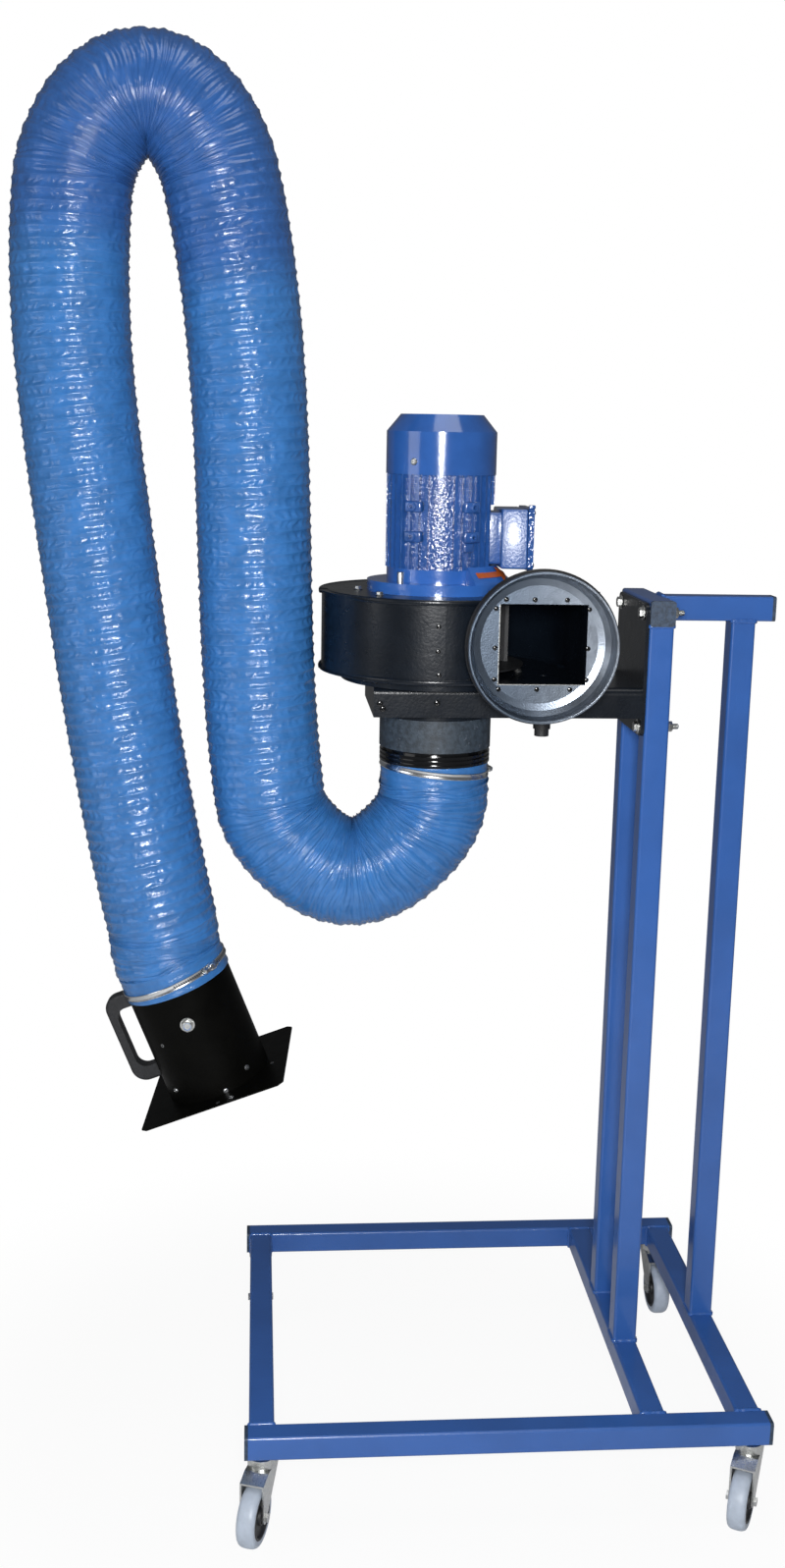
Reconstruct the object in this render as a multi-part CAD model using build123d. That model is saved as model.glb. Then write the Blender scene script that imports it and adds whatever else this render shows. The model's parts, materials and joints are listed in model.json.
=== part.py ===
from build123d import *
import math
import os

os.makedirs("parts", exist_ok=True)

# Driving dimensions of the trolley, in millimetres.
# X runs to the right, Y away from the side with the outlet, Z up from the floor.
# The origin is on the floor under the middle of the whole machine.
tube = 35
tube_wall = 2.5
tube_corner = 4
base_length = 730
base_depth = 620
base_left = -219
mid_y = 28
top_height = 1260
left_rail_inset = 6
right_rail_inset = 10
post_from_left = 567.5
post_spacing = 144
handle_beam_overhang = 28
plug_head = 5
plug_insert = 7
plug_clearance = 0.3
plug_wall = 2

# Castors
castor_height = 114
wheel_diameter = 84
wheel_width = 26
tyre_depth = 11
tyre_round = 7
round_facet_share = 0.3
hub_width = 27.4
hub_rim = 4
hub_dish = 5
hub_boss_diameter = 22
castor_trail = 32
fork_inner_width = 29
fork_sheet = 2.5
fork_crown_drop = 14
fork_crown_length = 42
fork_lip_reach = 41
fork_lip_drop = 7
fork_foot_radius = 9
race_diameter = 38
race_gap = 0.3
king_pin_diameter = 12
king_pin_head_diameter = 18
king_pin_head_height = 3
stud_diameter = 10
stud_nut_diameter = 18
stud_nut_height = 8
axle_diameter = 8
axle_head_diameter = 13
axle_head_height = 4
running_clearance = 0.05
bolt_clearance = 0.2
castor_turns = {"front_left": -19, "front_right": -28, "rear_left": 0, "rear_right": 2}

# Fan casing
fan_x = 49
casing_bottom = 1152
casing_height = 111
casing_sheet = 2
casing_rim = 3
scroll_radius = 155.5
scroll_step = 10.8
tongue_round = 7
outlet_inner = 64
outlet_reach = 158
outlet_flange = 15
spigot_diameter = 197
spigot_depth = 42
spigot_sheet = 1.5
spigot_round = 20
spigot_off_centre = 4.25
spigot_bend_steps = 3
seal_width = 14
seal_thickness = 1.5
inlet_ring_diameter = 270
inlet_ring_thickness = 12
nozzle_height = 22
nozzle_sheet = 2
inlet_bore = 150
nozzle_throat = 140
casing_inlet_gap = 6

# Bracket that carries the fan
bracket_sheet = 3
bracket_height = 42
bracket_half_width = 95
bracket_left = 94.5
bracket_bend = 10
bracket_sleeve_drop = 8
sleeve_clearance = 0.3
collar_gap = 3
mounting_plate_thickness = 5
mounting_plate_half_width = 90
mounting_plate_top = 1256
mounting_plate_height = 185
mounting_plate_corner = 12
bolt_edge_margin = 12
frame_bolt_diameter = 8
frame_bolt_head_diameter = 14
frame_bolt_head_height = 5.5
frame_bolt_end = 17
frame_nut_height = 6.5
drain_x = 190
drain_y = -45
drain_diameter = 16
drain_wall = 2
drain_bottom = 1070
drain_cap_diameter = 24
drain_cap_height = 20
drain_foot_diameter = 20

# Motor
motor_flange_diameter = 200
motor_flange_thickness = 15
motor_diameter = 150
motor_spigot_diameter = 146
motor_body_bottom = 1296
motor_body_top = 1423
fin_count = 36
fin_depth = 8
fin_thickness = 3
stator_bore_diameter = 90
end_wall = 10
cowl_top = 1503
cowl_diameter = 152
cowl_sheet = 1.5
cowl_chamfer_height = 23
cowl_chamfer_depth = 19
cowl_slot_count = 12
cowl_slot_width = 5
cowl_slot_length = 22
cowl_slot_radius = 34
shaft_diameter = 19
bearing_diameter = 47
bearing_thickness = 14
rotor_gap = 1
rotor_length = 90
terminal_inner = 66
terminal_outer = 117
terminal_bottom = 1297
terminal_height = 81
terminal_half_width = 46
terminal_wall = 4
terminal_corner = 6
lid_thickness = 8
lid_overhang = 2
gland_diameter = 25
gland_length = 28
gland_bore = 10
gland_cap_length = 16
flange_bolt_circle = 165
flange_bolt_diameter = 10
flange_bolt_head_diameter = 17
flange_bolt_head_height = 6.5

# Impeller and cooling fan
impeller_diameter = 244
impeller_eye = 150
impeller_sheet = 2.5
impeller_top_gap = 7
impeller_bottom_gap = 7
blade_count = 9
blade_radius = 85
blade_lean = 60
blade_sheet = 2.5
impeller_hub_diameter = 46
impeller_hub_height = 36
cooling_fan_diameter = 128
cooling_fan_height = 26
cooling_hub_diameter = 36
cooling_blade_count = 8
cooling_blade_thickness = 3
cooling_disc = 3

# Inlet collar and swivel
collar_diameter = 158
collar_wall = 3
collar_bottom = 1044
ledge_bore = 140
ledge_thickness = 4
slide_ring_thickness = 3
swivel_flange_diameter = 151
swivel_flange_thickness = 3
swivel_top = 1038.5
swivel_bottom = 1023
swivel_diameter = 157
swivel_bore = 134
swivel_groove_width = 3
swivel_groove_depth = 3.5
neck_diameter = 150
neck_wall = 2
neck_length = 30

# Hose
hose_crest_diameter = 160
hose_valley_diameter = 152
hose_wall = 1.5
cuff_clearance = 0.3
cuff_wall = 1.7
rib_pitch = 46
rib_rise_share = 0.34
clamp_width = 9
clamp_thickness = 1
clamp_gap = 0.3
clamp_inset = 7
hood_clamp_inset = 16
inlet_clamp_turn = 110
hood_clamp_turn = 149
worm_length = 26
worm_height = 11
worm_width = 13

# Route of the hose: two bends, two long legs and the stretch to the hood
lower_bend_radius = 120
lower_bend_drop = 49.5
lower_bend_dip = 8
lower_bend_sweep = 172
upper_bend_x = -348
upper_bend_height = 1782
upper_bend_radius = 97.5
upper_bend_rise = 25.5
upper_bend_start = 13
upper_bend_end = 173
leg_middle_x = -432
leg_middle_height = 1391
leg_middle_slope = 0.12
leg_end_back = 38
leg_end_rise = 127.5
leg_end_slope = 0.22

# Inner support arm
arm_diameter = 28
arm_wall = 2
link_width = 30
link_thickness = 8
fork_plate = 5
disc_thickness = 3
disc_diameter = 30
pivot_diameter = 12
pivot_head_diameter = 19
pivot_head_height = 8
shoulder_offset = 72
elbow_offset = 84
lower_arm_foot_x = -193
lower_arm_foot_rise = 16.5
lower_arm_head_x = -248
lower_arm_head_height = 1760
upper_arm_head_x = -450
upper_arm_head_height = 1755
swivel_tube_bottom = 965
swivel_bar_height = 6
swivel_bar_width = 32
swivel_bar_bottom = 994

# Hood
wrist_x = -301
wrist_height = 652.5
hood_tilt = 21.5
hood_turn = 5
hood_pipe_diameter = 152
hood_pipe_wall = 1.5
hood_above_pivot = 75
hood_below_pivot = 117
hose_end_above_pivot = 43
hood_plate_length = 216
hood_plate_width = 216
hood_plate_thickness = 2
hood_plate_chamfer = 8
handle_top = -55
handle_bottom = 84
handle_reach = 40
handle_grip = 13
handle_width = 20
handle_foot = 22
handle_round = 22
handle_cuff_gap = 0.5
wrist_bolt_diameter = 10
wrist_nut_diameter = 18
wrist_nut_height = 9
wrist_sleeve_diameter = 24
wrist_sleeve_half_length = 16
cut_overrun = 5

# Places worked out from the sizes above
base_right = base_left + base_length
rail_z = castor_height + tube / 2
rail_top = castor_height + tube
front_rail_y = mid_y - base_depth / 2 + tube / 2
back_rail_y = mid_y + base_depth / 2 - tube / 2
left_rail_x = base_left + left_rail_inset + tube / 2
post_x = base_left + post_from_left
outer_rail_x = base_right - right_rail_inset - tube / 2
beam_z = top_height - tube / 2
post_top = top_height - tube
front_post_y = mid_y - post_spacing / 2
rear_post_y = mid_y + post_spacing / 2
handle_end_x = outer_rail_x + tube / 2 + handle_beam_overhang
casing_top = casing_bottom + casing_height
casing_middle = (casing_bottom + casing_top) / 2
outlet_outer = scroll_step / 2 + scroll_radius + 2 * scroll_step
outlet_x = fan_x + (outlet_inner + outlet_outer) / 2 - spigot_off_centre
outlet_back_y = mid_y - outlet_reach
spigot_front_y = outlet_back_y - spigot_depth
inlet_ring_bottom = casing_bottom - inlet_ring_thickness
bracket_top = inlet_ring_bottom
bracket_bottom = bracket_top - bracket_height
plate_x = post_x - tube / 2 - mounting_plate_thickness
lower_bolt_height = mounting_plate_top - mounting_plate_height + bolt_edge_margin
flange_top = casing_top + motor_flange_thickness
neck_cuff_inner = neck_diameter / 2 + cuff_clearance
hood_cuff_inner = hood_pipe_diameter / 2 + cuff_clearance
lower_bend_x = fan_x - lower_bend_radius
lower_bend_height = swivel_bottom - lower_bend_drop
lower_arm_foot_height = lower_bend_height + lower_arm_foot_rise
leg_end_x = wrist_x - leg_end_back
leg_end_height = wrist_height + leg_end_rise
shoulder_x = lower_bend_x
shoulder_z = lower_bend_height - shoulder_offset
elbow_x = upper_bend_x
elbow_z = upper_bend_height + elbow_offset
fork_inner = link_thickness / 2 + disc_thickness
fork_outer = fork_inner + fork_plate
hood_x_share = math.sin(math.radians(hood_tilt))
hood_z_share = -math.cos(math.radians(hood_tilt))


def block(x0, x1, y0, y1, z0, z1):
    return Pos((x0 + x1) / 2, (y0 + y1) / 2, (z0 + z1) / 2) * Box(x1 - x0, y1 - y0, z1 - z0)


def upright(x, y, z0, z1, diameter):
    return Pos(x, y, (z0 + z1) / 2) * Cylinder(diameter / 2, z1 - z0)


def rod_along_x(x0, x1, y, z, diameter):
    return Pos((x0 + x1) / 2, y, z) * Rot(0, 90, 0) * Cylinder(diameter / 2, x1 - x0)


def rod_along_y(x, y0, y1, z, diameter):
    return Pos(x, (y0 + y1) / 2, z) * Rot(90, 0, 0) * Cylinder(diameter / 2, y1 - y0)


def nut_along_x(x0, x1, y, z, diameter):
    hexagon = RegularPolygon(diameter / 2, 6)
    return Pos(x0, y, z) * Rot(0, 90, 0) * extrude(hexagon, x1 - x0)


def nut_along_y(x, y0, y1, z, diameter):
    hexagon = RegularPolygon(diameter / 2, 6)
    return Pos(x, y1, z) * Rot(90, 0, 0) * extrude(hexagon, y1 - y0)


def turned(points, x, y):
    """A solid of revolution about the upright axis at x, y; points are radius and height."""
    profile = make_face(Polyline(*[(r, 0, z) for r, z in points], close=True))
    return Pos(x, y, 0) * revolve(profile, Axis.Z)


def save(node, *solids):
    export_step(Compound(children=[s for s in solids]), "parts/" + node + ".step")


def square_tube(length):
    inner = tube - 2 * tube_wall
    section = RectangleRounded(tube, tube, tube_corner) - RectangleRounded(
        inner, inner, tube_corner - tube_wall
    )
    return extrude(section, length)


def tube_along_x(x0, x1, y, z):
    return Pos(x0, y, z) * Rot(0, 90, 0) * square_tube(x1 - x0)


def tube_along_y(x, y0, y1, z):
    return Pos(x, y0, z) * Rot(-90, 0, 0) * square_tube(y1 - y0)


def tube_upright(x, y, z0, z1):
    return Pos(x, y, z0) * square_tube(z1 - z0)


def stud_holes(y):
    holes = [
        upright(x, y, castor_height - cut_overrun, rail_z, stud_diameter + bolt_clearance)
        for x in (left_rail_x, outer_rail_x)
    ]
    return holes[0] + holes[1]


def base_frame():
    """Two long rails under the castors' studs, and three side rails welded between them."""
    left = base_left + plug_head
    right = base_right - plug_head
    save("front_rail", tube_along_x(left, right, front_rail_y, rail_z) - stud_holes(front_rail_y))
    save("back_rail", tube_along_x(left, right, back_rail_y, rail_z) - stud_holes(back_rail_y))
    y0 = front_rail_y + tube / 2
    y1 = back_rail_y - tube / 2
    for node, x in (
        ("left_side_rail", left_rail_x),
        ("inner_cross_rail", post_x),
        ("outer_side_rail", outer_rail_x),
    ):
        save(node, tube_along_y(x, y0, y1, rail_z))


def bolt_hole(y, z):
    x0 = post_x - tube / 2 - cut_overrun
    x1 = post_x + tube / 2 + cut_overrun
    return rod_along_x(x0, x1, y, z, frame_bolt_diameter + bolt_clearance)


def posts():
    for node, y in (("front_post", front_post_y), ("rear_post", rear_post_y)):
        post = tube_upright(post_x, y, rail_top, post_top)
        save(node, post - bolt_hole(y, lower_bolt_height))
    save("handle_post", tube_upright(outer_rail_x, mid_y, rail_top, post_top))


def top_beams():
    beam = tube_along_y(post_x, front_post_y - tube / 2, rear_post_y + tube / 2, beam_z)
    for y in (front_post_y, rear_post_y):
        beam = beam - bolt_hole(y, beam_z)
    save("top_beam", beam)
    handle = tube_along_x(post_x + tube / 2, handle_end_x - plug_head, mid_y, beam_z)
    save("handle_beam", handle)


def end_plug():
    """A black moulded plug: a square head outside the tube and a hollow insert in it."""
    side = tube - 2 * tube_wall - 2 * plug_clearance
    head = Pos(0, 0, -plug_head) * extrude(RectangleRounded(tube, tube, tube_corner), plug_head)
    hollow = side - 2 * plug_wall
    ring = RectangleRounded(side, side, tube_corner - tube_wall) - Rectangle(hollow, hollow)
    return head + extrude(ring, plug_insert)


def end_plugs():
    plug = end_plug()
    plugs = []
    for y in (front_rail_y, back_rail_y):
        plugs.append(Pos(base_left + plug_head, y, rail_z) * Rot(0, 90, 0) * plug)
        plugs.append(Pos(base_right - plug_head, y, rail_z) * Rot(0, -90, 0) * plug)
    plugs.append(Pos(post_x, front_post_y - tube / 2, beam_z) * Rot(-90, 0, 0) * plug)
    plugs.append(Pos(post_x, rear_post_y + tube / 2, beam_z) * Rot(90, 0, 0) * plug)
    plugs.append(Pos(handle_end_x - plug_head, mid_y, beam_z) * Rot(0, -90, 0) * plug)
    save("end_plugs", *plugs)


def castor_head():
    """The fixed upper race with its stud and nut in the rail and its king pin below."""
    crown_top = castor_height - fork_crown_drop
    race_bottom = crown_top + race_gap
    race = upright(0, 0, race_bottom, castor_height, race_diameter)
    stud_top = castor_height + tube_wall + stud_nut_height
    stud = upright(0, 0, castor_height, stud_top, stud_diameter)
    hexagon = RegularPolygon(stud_nut_diameter / 2, 6)
    nut = Pos(0, 0, castor_height + tube_wall) * extrude(hexagon, stud_nut_height)
    pin_bottom = crown_top - fork_sheet - race_gap
    pin = upright(0, 0, pin_bottom, race_bottom, king_pin_diameter)
    head = upright(
        0, 0, pin_bottom - king_pin_head_height, pin_bottom, king_pin_head_diameter
    )
    return race + stud + nut + pin + head


def castor_fork():
    """A pressed fork: crown, web with a front lip, and two legs that taper to the axle."""
    top = castor_height - fork_crown_drop
    back = fork_crown_length / 2
    axle_z = wheel_diameter / 2
    side = Polyline(
        (back, top),
        (-back, top),
        (-fork_lip_reach, top - fork_lip_drop),
        (-castor_trail - fork_foot_radius, axle_z),
        (-castor_trail + fork_foot_radius, axle_z),
        (back, top - fork_lip_drop),
        close=True,
    )
    outline = make_face(side) + Pos(-castor_trail, axle_z) * Circle(fork_foot_radius)
    width = fork_inner_width + 2 * fork_sheet
    fork = Pos(-width / 2, 0, 0) * Rot(0, 0, 90) * Rot(90, 0, 0) * extrude(outline, width)
    hollow = Polyline(
        (back + cut_overrun, top - fork_sheet),
        (-back + fork_sheet / 2, top - fork_sheet),
        (-fork_lip_reach, top - fork_lip_drop - fork_sheet),
        (-fork_lip_reach - 2 * cut_overrun, top - fork_lip_drop - fork_sheet),
        (-fork_lip_reach - 2 * cut_overrun, 0),
        (back + cut_overrun, 0),
        close=True,
    )
    width = fork_inner_width
    fork -= Pos(-width / 2, 0, 0) * Rot(0, 0, 90) * Rot(90, 0, 0) * extrude(make_face(hollow), width)
    bore = king_pin_diameter + 2 * running_clearance
    fork -= upright(0, 0, top - 2 * fork_sheet, top + cut_overrun, bore)
    reach = fork_inner_width / 2 + fork_sheet + cut_overrun
    fork -= rod_along_x(-reach, reach, -castor_trail, axle_z, axle_diameter + bolt_clearance)
    return fork


def castor_axle():
    axle_z = wheel_diameter / 2
    reach = fork_inner_width / 2 + fork_sheet
    axle = rod_along_x(-reach, reach, -castor_trail, axle_z, axle_diameter)
    end = reach + axle_head_height
    axle += nut_along_x(reach, end, -castor_trail, axle_z, axle_head_diameter)
    axle += nut_along_x(-end, -reach, -castor_trail, axle_z, axle_head_diameter)
    return axle


def castor_tyre():
    """The tyre's rounded tread in a few straight facets."""
    outer = wheel_diameter / 2
    inner = outer - tyre_depth
    half = wheel_width / 2
    cut = tyre_round * round_facet_share
    points = [
        (inner, -half),
        (outer - tyre_round, -half),
        (outer - cut, -half + cut),
        (outer, -half + tyre_round),
        (outer, half - tyre_round),
        (outer - cut, half - cut),
        (outer - tyre_round, half),
        (inner, half),
    ]
    return Pos(0, -castor_trail, wheel_diameter / 2) * Rot(0, 90, 0) * turned(points, 0, 0)


def castor_hub():
    """A moulded hub: a rim under the tyre, a dished web and a boss on the axle."""
    rim = wheel_diameter / 2 - tyre_depth
    half = hub_width / 2
    web = half - hub_dish
    bore = axle_diameter / 2 + running_clearance
    boss = hub_boss_diameter / 2
    points = [
        (bore, -half),
        (boss, -half),
        (boss + hub_dish, -web),
        (rim - hub_rim - hub_dish, -web),
        (rim - hub_rim, -wheel_width / 2),
        (rim, -wheel_width / 2),
        (rim, wheel_width / 2),
        (rim - hub_rim, wheel_width / 2),
        (rim - hub_rim - hub_dish, web),
        (boss + hub_dish, web),
        (boss, half),
        (bore, half),
    ]
    return Pos(0, -castor_trail, wheel_diameter / 2) * Rot(0, 90, 0) * turned(points, 0, 0)


def castors():
    places = {
        "front_left": (left_rail_x, front_rail_y),
        "front_right": (outer_rail_x, front_rail_y),
        "rear_left": (left_rail_x, back_rail_y),
        "rear_right": (outer_rail_x, back_rail_y),
    }
    head = castor_head()
    fork = castor_fork()
    axle = castor_axle()
    tyre = castor_tyre()
    hub = castor_hub()
    save("castor_heads", *[Pos(x, y, 0) * head for x, y in places.values()])
    for name, (x, y) in places.items():
        place = Pos(x, y, 0) * Rot(0, 0, castor_turns[name])
        save(name + "_fork", place * fork, place * axle)
        save(name + "_wheel", place * tyre, place * hub)
        axle_point = place * Pos(0, -castor_trail, wheel_diameter / 2)
        print("castor", name, (x, y), axle_point.position, castor_turns[name])


def scroll_face():
    """The inside of the casing seen from above: four quarter arcs on a small square of centres."""
    half = scroll_step / 2
    first = scroll_radius - scroll_step
    tongue_angle = math.degrees(math.acos((outlet_inner + half) / first))
    tongue_y = -half - first * math.sin(math.radians(tongue_angle))
    edges = [
        Line((outlet_outer, -outlet_reach), (outlet_outer, -half)),
        CenterArc((half, -half), scroll_radius + 2 * scroll_step, 0, 90),
        CenterArc((half, half), scroll_radius + scroll_step, 90, 90),
        CenterArc((-half, half), scroll_radius, 180, 90),
        CenterArc((-half, -half), first, 270, 90 - tongue_angle),
        Line((outlet_inner, tongue_y), (outlet_inner, -outlet_reach)),
        Line((outlet_inner, -outlet_reach), (outlet_outer, -outlet_reach)),
    ]
    face = make_face(edges)
    tongue = face.vertices().sort_by_distance((outlet_inner, tongue_y, 0))[0]
    return fillet(tongue, tongue_round)


def beyond_outlet(depth):
    """A block in front of the outlet's mounting face, less the given depth."""
    far = 4 * scroll_radius
    y1 = -outlet_reach + depth
    return block(-far, far, y1 - far, y1, castor_height, top_height + far)


def casing():
    """Side band, two plates and the outlet's frame, all folded from sheet."""
    inside = scroll_face()
    z0 = casing_bottom + casing_sheet
    z1 = casing_top - casing_sheet
    place = Pos(fan_x, mid_y, 0)
    band = offset(inside, casing_sheet) - inside
    wrap = Pos(0, 0, z0) * extrude(band, z1 - z0) - beyond_outlet(0)
    frame_low = casing_bottom - outlet_flange
    frame_high = casing_top + outlet_flange
    y0 = -outlet_reach
    y1 = -outlet_reach + casing_sheet
    frame = block(
        outlet_inner - outlet_flange, outlet_outer + outlet_flange, y0, y1, frame_low, frame_high
    )
    frame -= block(outlet_inner, outlet_outer, y0 - cut_overrun, y1 + cut_overrun, z0, z1)
    save("scroll_wrap", place * (wrap + frame))
    sheet = offset(inside, casing_sheet + casing_rim)
    shaft_hole = Circle(shaft_diameter)
    top = Pos(0, 0, z1) * extrude(sheet - shaft_hole, casing_sheet) - beyond_outlet(casing_sheet)
    top -= flange_bolt_holes(z1 - cut_overrun, casing_top + cut_overrun)
    save("scroll_top", place * top)
    inlet_hole = Circle(inlet_bore / 2 + casing_inlet_gap)
    bottom = Pos(0, 0, casing_bottom) * extrude(sheet - inlet_hole, casing_sheet)
    bottom -= beyond_outlet(casing_sheet)
    bottom -= upright(
        drain_x - fan_x, drain_y - mid_y, casing_bottom - cut_overrun, z0 + cut_overrun, drain_bore()
    )
    save("scroll_bottom", place * bottom)


def drain_bore():
    return drain_diameter - 2 * drain_wall


def inlet_ring():
    """The ring bolted under the casing, with the nozzle that leads air to the impeller's eye."""
    ring = inlet_ring_diameter / 2
    bore = inlet_bore / 2
    throat = nozzle_throat / 2
    top = casing_bottom + nozzle_height
    points = [
        (bore, inlet_ring_bottom),
        (ring, inlet_ring_bottom),
        (ring, casing_bottom),
        (bore + nozzle_sheet, casing_bottom),
        (throat + nozzle_sheet, (casing_bottom + top) / 2),
        (throat + nozzle_sheet, top),
        (throat, top),
        (throat, (casing_bottom + top) / 2),
    ]
    save("inlet_ring", turned(points, fan_x, mid_y))


def spigot_bend(radius):
    """The quarter bend from the dished plate to the spigot's wall, in straight facets."""
    centre = spigot_diameter / 2 - spigot_round
    turns = [math.pi / 2 * i / spigot_bend_steps for i in range(spigot_bend_steps + 1)]
    return [(centre + radius * math.sin(a), spigot_round - radius * math.cos(a)) for a in turns]


def outlet_spigot():
    """A dished plate with a rectangular hole, drawn forward into a round duct spigot."""
    outer = spigot_diameter / 2
    inner = outer - spigot_sheet
    points = [(0, 0)] + spigot_bend(spigot_round)
    points += [(outer, spigot_depth), (inner, spigot_depth)]
    points += spigot_bend(spigot_round - spigot_sheet)[::-1] + [(0, spigot_sheet)]
    dish = turned(points, 0, 0)
    dish = Pos(outlet_x, outlet_back_y, casing_middle) * Rot(90, 0, 0) * dish
    dish -= block(
        fan_x + outlet_inner,
        fan_x + outlet_outer,
        outlet_back_y - 2 * spigot_sheet,
        outlet_back_y + spigot_sheet,
        casing_bottom + casing_sheet,
        casing_top - casing_sheet,
    )
    save("outlet_spigot", dish)
    seal = Circle(outer + seal_thickness) - Circle(outer)
    start = spigot_front_y + seal_width + clamp_inset
    band = Pos(outlet_x, start, casing_middle) * Rot(90, 0, 0) * extrude(seal, seal_width)
    save("outlet_seal", band)


def folded_block(x0, x1, half_width, z0, z1, bend):
    """A block with the two long edges of its top rounded as in folded sheet."""
    solid = block(x0, x1, mid_y - half_width, mid_y + half_width, z0, z1)
    return fillet(solid.edges().filter_by(Axis.X).sort_by(Axis.Z)[-2:], bend)


def fan_bracket():
    """A folded channel under the fan, closed at its free end, with a sleeve round the collar."""
    left = fan_x - bracket_left
    right = plate_x
    channel = folded_block(
        left, right, bracket_half_width, bracket_bottom, bracket_top, bracket_bend
    )
    channel -= folded_block(
        left + bracket_sheet,
        right + cut_overrun,
        bracket_half_width - bracket_sheet,
        bracket_bottom - cut_overrun,
        bracket_top - bracket_sheet,
        bracket_bend - bracket_sheet,
    )
    hole = collar_diameter + 2 * collar_gap
    channel -= upright(fan_x, mid_y, bracket_bottom, bracket_top + cut_overrun, hole)
    sleeve = Circle(hole / 2) - Circle(collar_diameter / 2 + sleeve_clearance)
    low = bracket_bottom - bracket_sleeve_drop
    channel += Pos(fan_x, mid_y, low) * extrude(sleeve, bracket_top - low)
    drain_hole = drain_diameter + 2 * collar_gap
    channel -= upright(drain_x, drain_y, bracket_bottom, bracket_top + cut_overrun, drain_hole)
    save("fan_bracket", channel)


def mounting_plate():
    low = mounting_plate_top - mounting_plate_height
    plate = block(
        plate_x,
        plate_x + mounting_plate_thickness,
        mid_y - mounting_plate_half_width,
        mid_y + mounting_plate_half_width,
        low,
        mounting_plate_top,
    )
    plate = fillet(plate.edges().filter_by(Axis.X), mounting_plate_corner)
    bolts = []
    for y in (front_post_y, rear_post_y):
        for z in (lower_bolt_height, beam_z):
            x0 = plate_x - cut_overrun
            hole = frame_bolt_diameter + bolt_clearance
            plate -= rod_along_x(x0, post_x, y, z, hole)
            bolts += frame_bolt(y, z)
    save("mounting_plate", plate)
    save("frame_bolts", *bolts)


def frame_bolt(y, z):
    """A bolt through the plate and the tube, and the nut on its end."""
    end = post_x + tube / 2
    bolt = rod_along_x(plate_x, end + frame_bolt_end, y, z, frame_bolt_diameter)
    head_x = plate_x - frame_bolt_head_height
    bolt += nut_along_x(head_x, plate_x, y, z, frame_bolt_head_diameter)
    nut = nut_along_x(end, end + frame_nut_height, y, z, frame_bolt_head_diameter)
    nut -= rod_along_x(
        end - cut_overrun, end + 2 * cut_overrun, y, z, frame_bolt_diameter + bolt_clearance
    )
    return [bolt, nut]


def drain_spout():
    """A drain tube under the casing that ends in a black cap below the bracket."""
    outer = drain_diameter / 2
    foot = drain_foot_diameter / 2
    cap = drain_cap_diameter / 2
    cap_top = drain_bottom + drain_cap_height
    points = [
        (0, drain_bottom),
        (foot, drain_bottom),
        (foot, (drain_bottom + cap_top) / 2),
        (cap, (drain_bottom + cap_top) / 2),
        (cap, cap_top),
        (outer, cap_top),
        (outer, casing_bottom),
        (outer - drain_wall, casing_bottom),
        (outer - drain_wall, cap_top),
        (0, cap_top),
    ]
    save("drain_spout", turned(points, drain_x, drain_y))


def flange_bolt_places():
    radius = flange_bolt_circle / 2
    for turn in (45, 135, 225, 315):
        yield radius * math.cos(math.radians(turn)), radius * math.sin(math.radians(turn))


def flange_bolt_holes(z0, z1):
    holes = [
        upright(x, y, z0, z1, flange_bolt_diameter + bolt_clearance)
        for x, y in flange_bolt_places()
    ]
    return holes[0] + holes[1] + holes[2] + holes[3]


def motor_flange():
    """The flanged end shield, with the front bearing's seat."""
    rim = motor_flange_diameter / 2
    drum = motor_spigot_diameter / 2
    seat = bearing_diameter / 2 + running_clearance
    seat_bottom = motor_body_bottom - bearing_thickness
    points = [
        (shaft_diameter, casing_top),
        (rim, casing_top),
        (rim, flange_top),
        (drum, flange_top),
        (drum, motor_body_bottom),
        (seat, motor_body_bottom),
        (seat, seat_bottom),
        (shaft_diameter, seat_bottom),
    ]
    shield = turned(points, 0, 0) - flange_bolt_holes(casing_top - cut_overrun, flange_top + cut_overrun)
    save("motor_flange", Pos(fan_x, mid_y, 0) * shield)
    bolts = []
    for x, y in flange_bolt_places():
        z0 = casing_top - casing_sheet
        shank = upright(x, y, z0, flange_top, flange_bolt_diameter)
        hexagon = RegularPolygon(flange_bolt_head_diameter / 2, 6)
        head = Pos(x, y, flange_top) * extrude(hexagon, flange_bolt_head_height)
        bolts.append(Pos(fan_x, mid_y, 0) * (shank + head))
    save("flange_bolts", *bolts)


def motor_body():
    """The cast stator housing with upright fins, closed at the top round the rear bearing."""
    root = motor_diameter / 2 - fin_depth
    section = Circle(root)
    fin = Pos(root, 0) * Rectangle(2 * fin_depth, fin_thickness)
    for i in range(fin_count):
        section += Rot(0, 0, 360 * i / fin_count) * fin
    height = motor_body_top - motor_body_bottom
    body = Pos(0, 0, motor_body_bottom) * extrude(section, height)
    wall_z = motor_body_top - end_wall - bearing_thickness
    body -= upright(0, 0, motor_body_bottom - cut_overrun, wall_z, stator_bore_diameter)
    seat = bearing_diameter + 2 * running_clearance
    body -= upright(0, 0, wall_z - cut_overrun, motor_body_top - end_wall, seat)
    body -= upright(0, 0, wall_z, motor_body_top + cut_overrun, shaft_diameter + 2 * rotor_gap)
    z0 = terminal_bottom - cut_overrun
    z1 = terminal_bottom + terminal_height + cut_overrun
    half = terminal_half_width + cut_overrun
    body -= block(terminal_inner, motor_diameter, -half, half, z0, z1)
    save("motor_body", Pos(fan_x, mid_y, 0) * body)


def motor_bearings():
    outer = bearing_diameter / 2
    inner = shaft_diameter / 2 + running_clearance
    ring = Circle(outer) - Circle(inner)
    low = Pos(fan_x, mid_y, motor_body_bottom - bearing_thickness) * extrude(ring, bearing_thickness)
    high_z = motor_body_top - end_wall - bearing_thickness
    high = Pos(fan_x, mid_y, high_z) * extrude(ring, bearing_thickness)
    save("motor_bearings", low, high)


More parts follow.
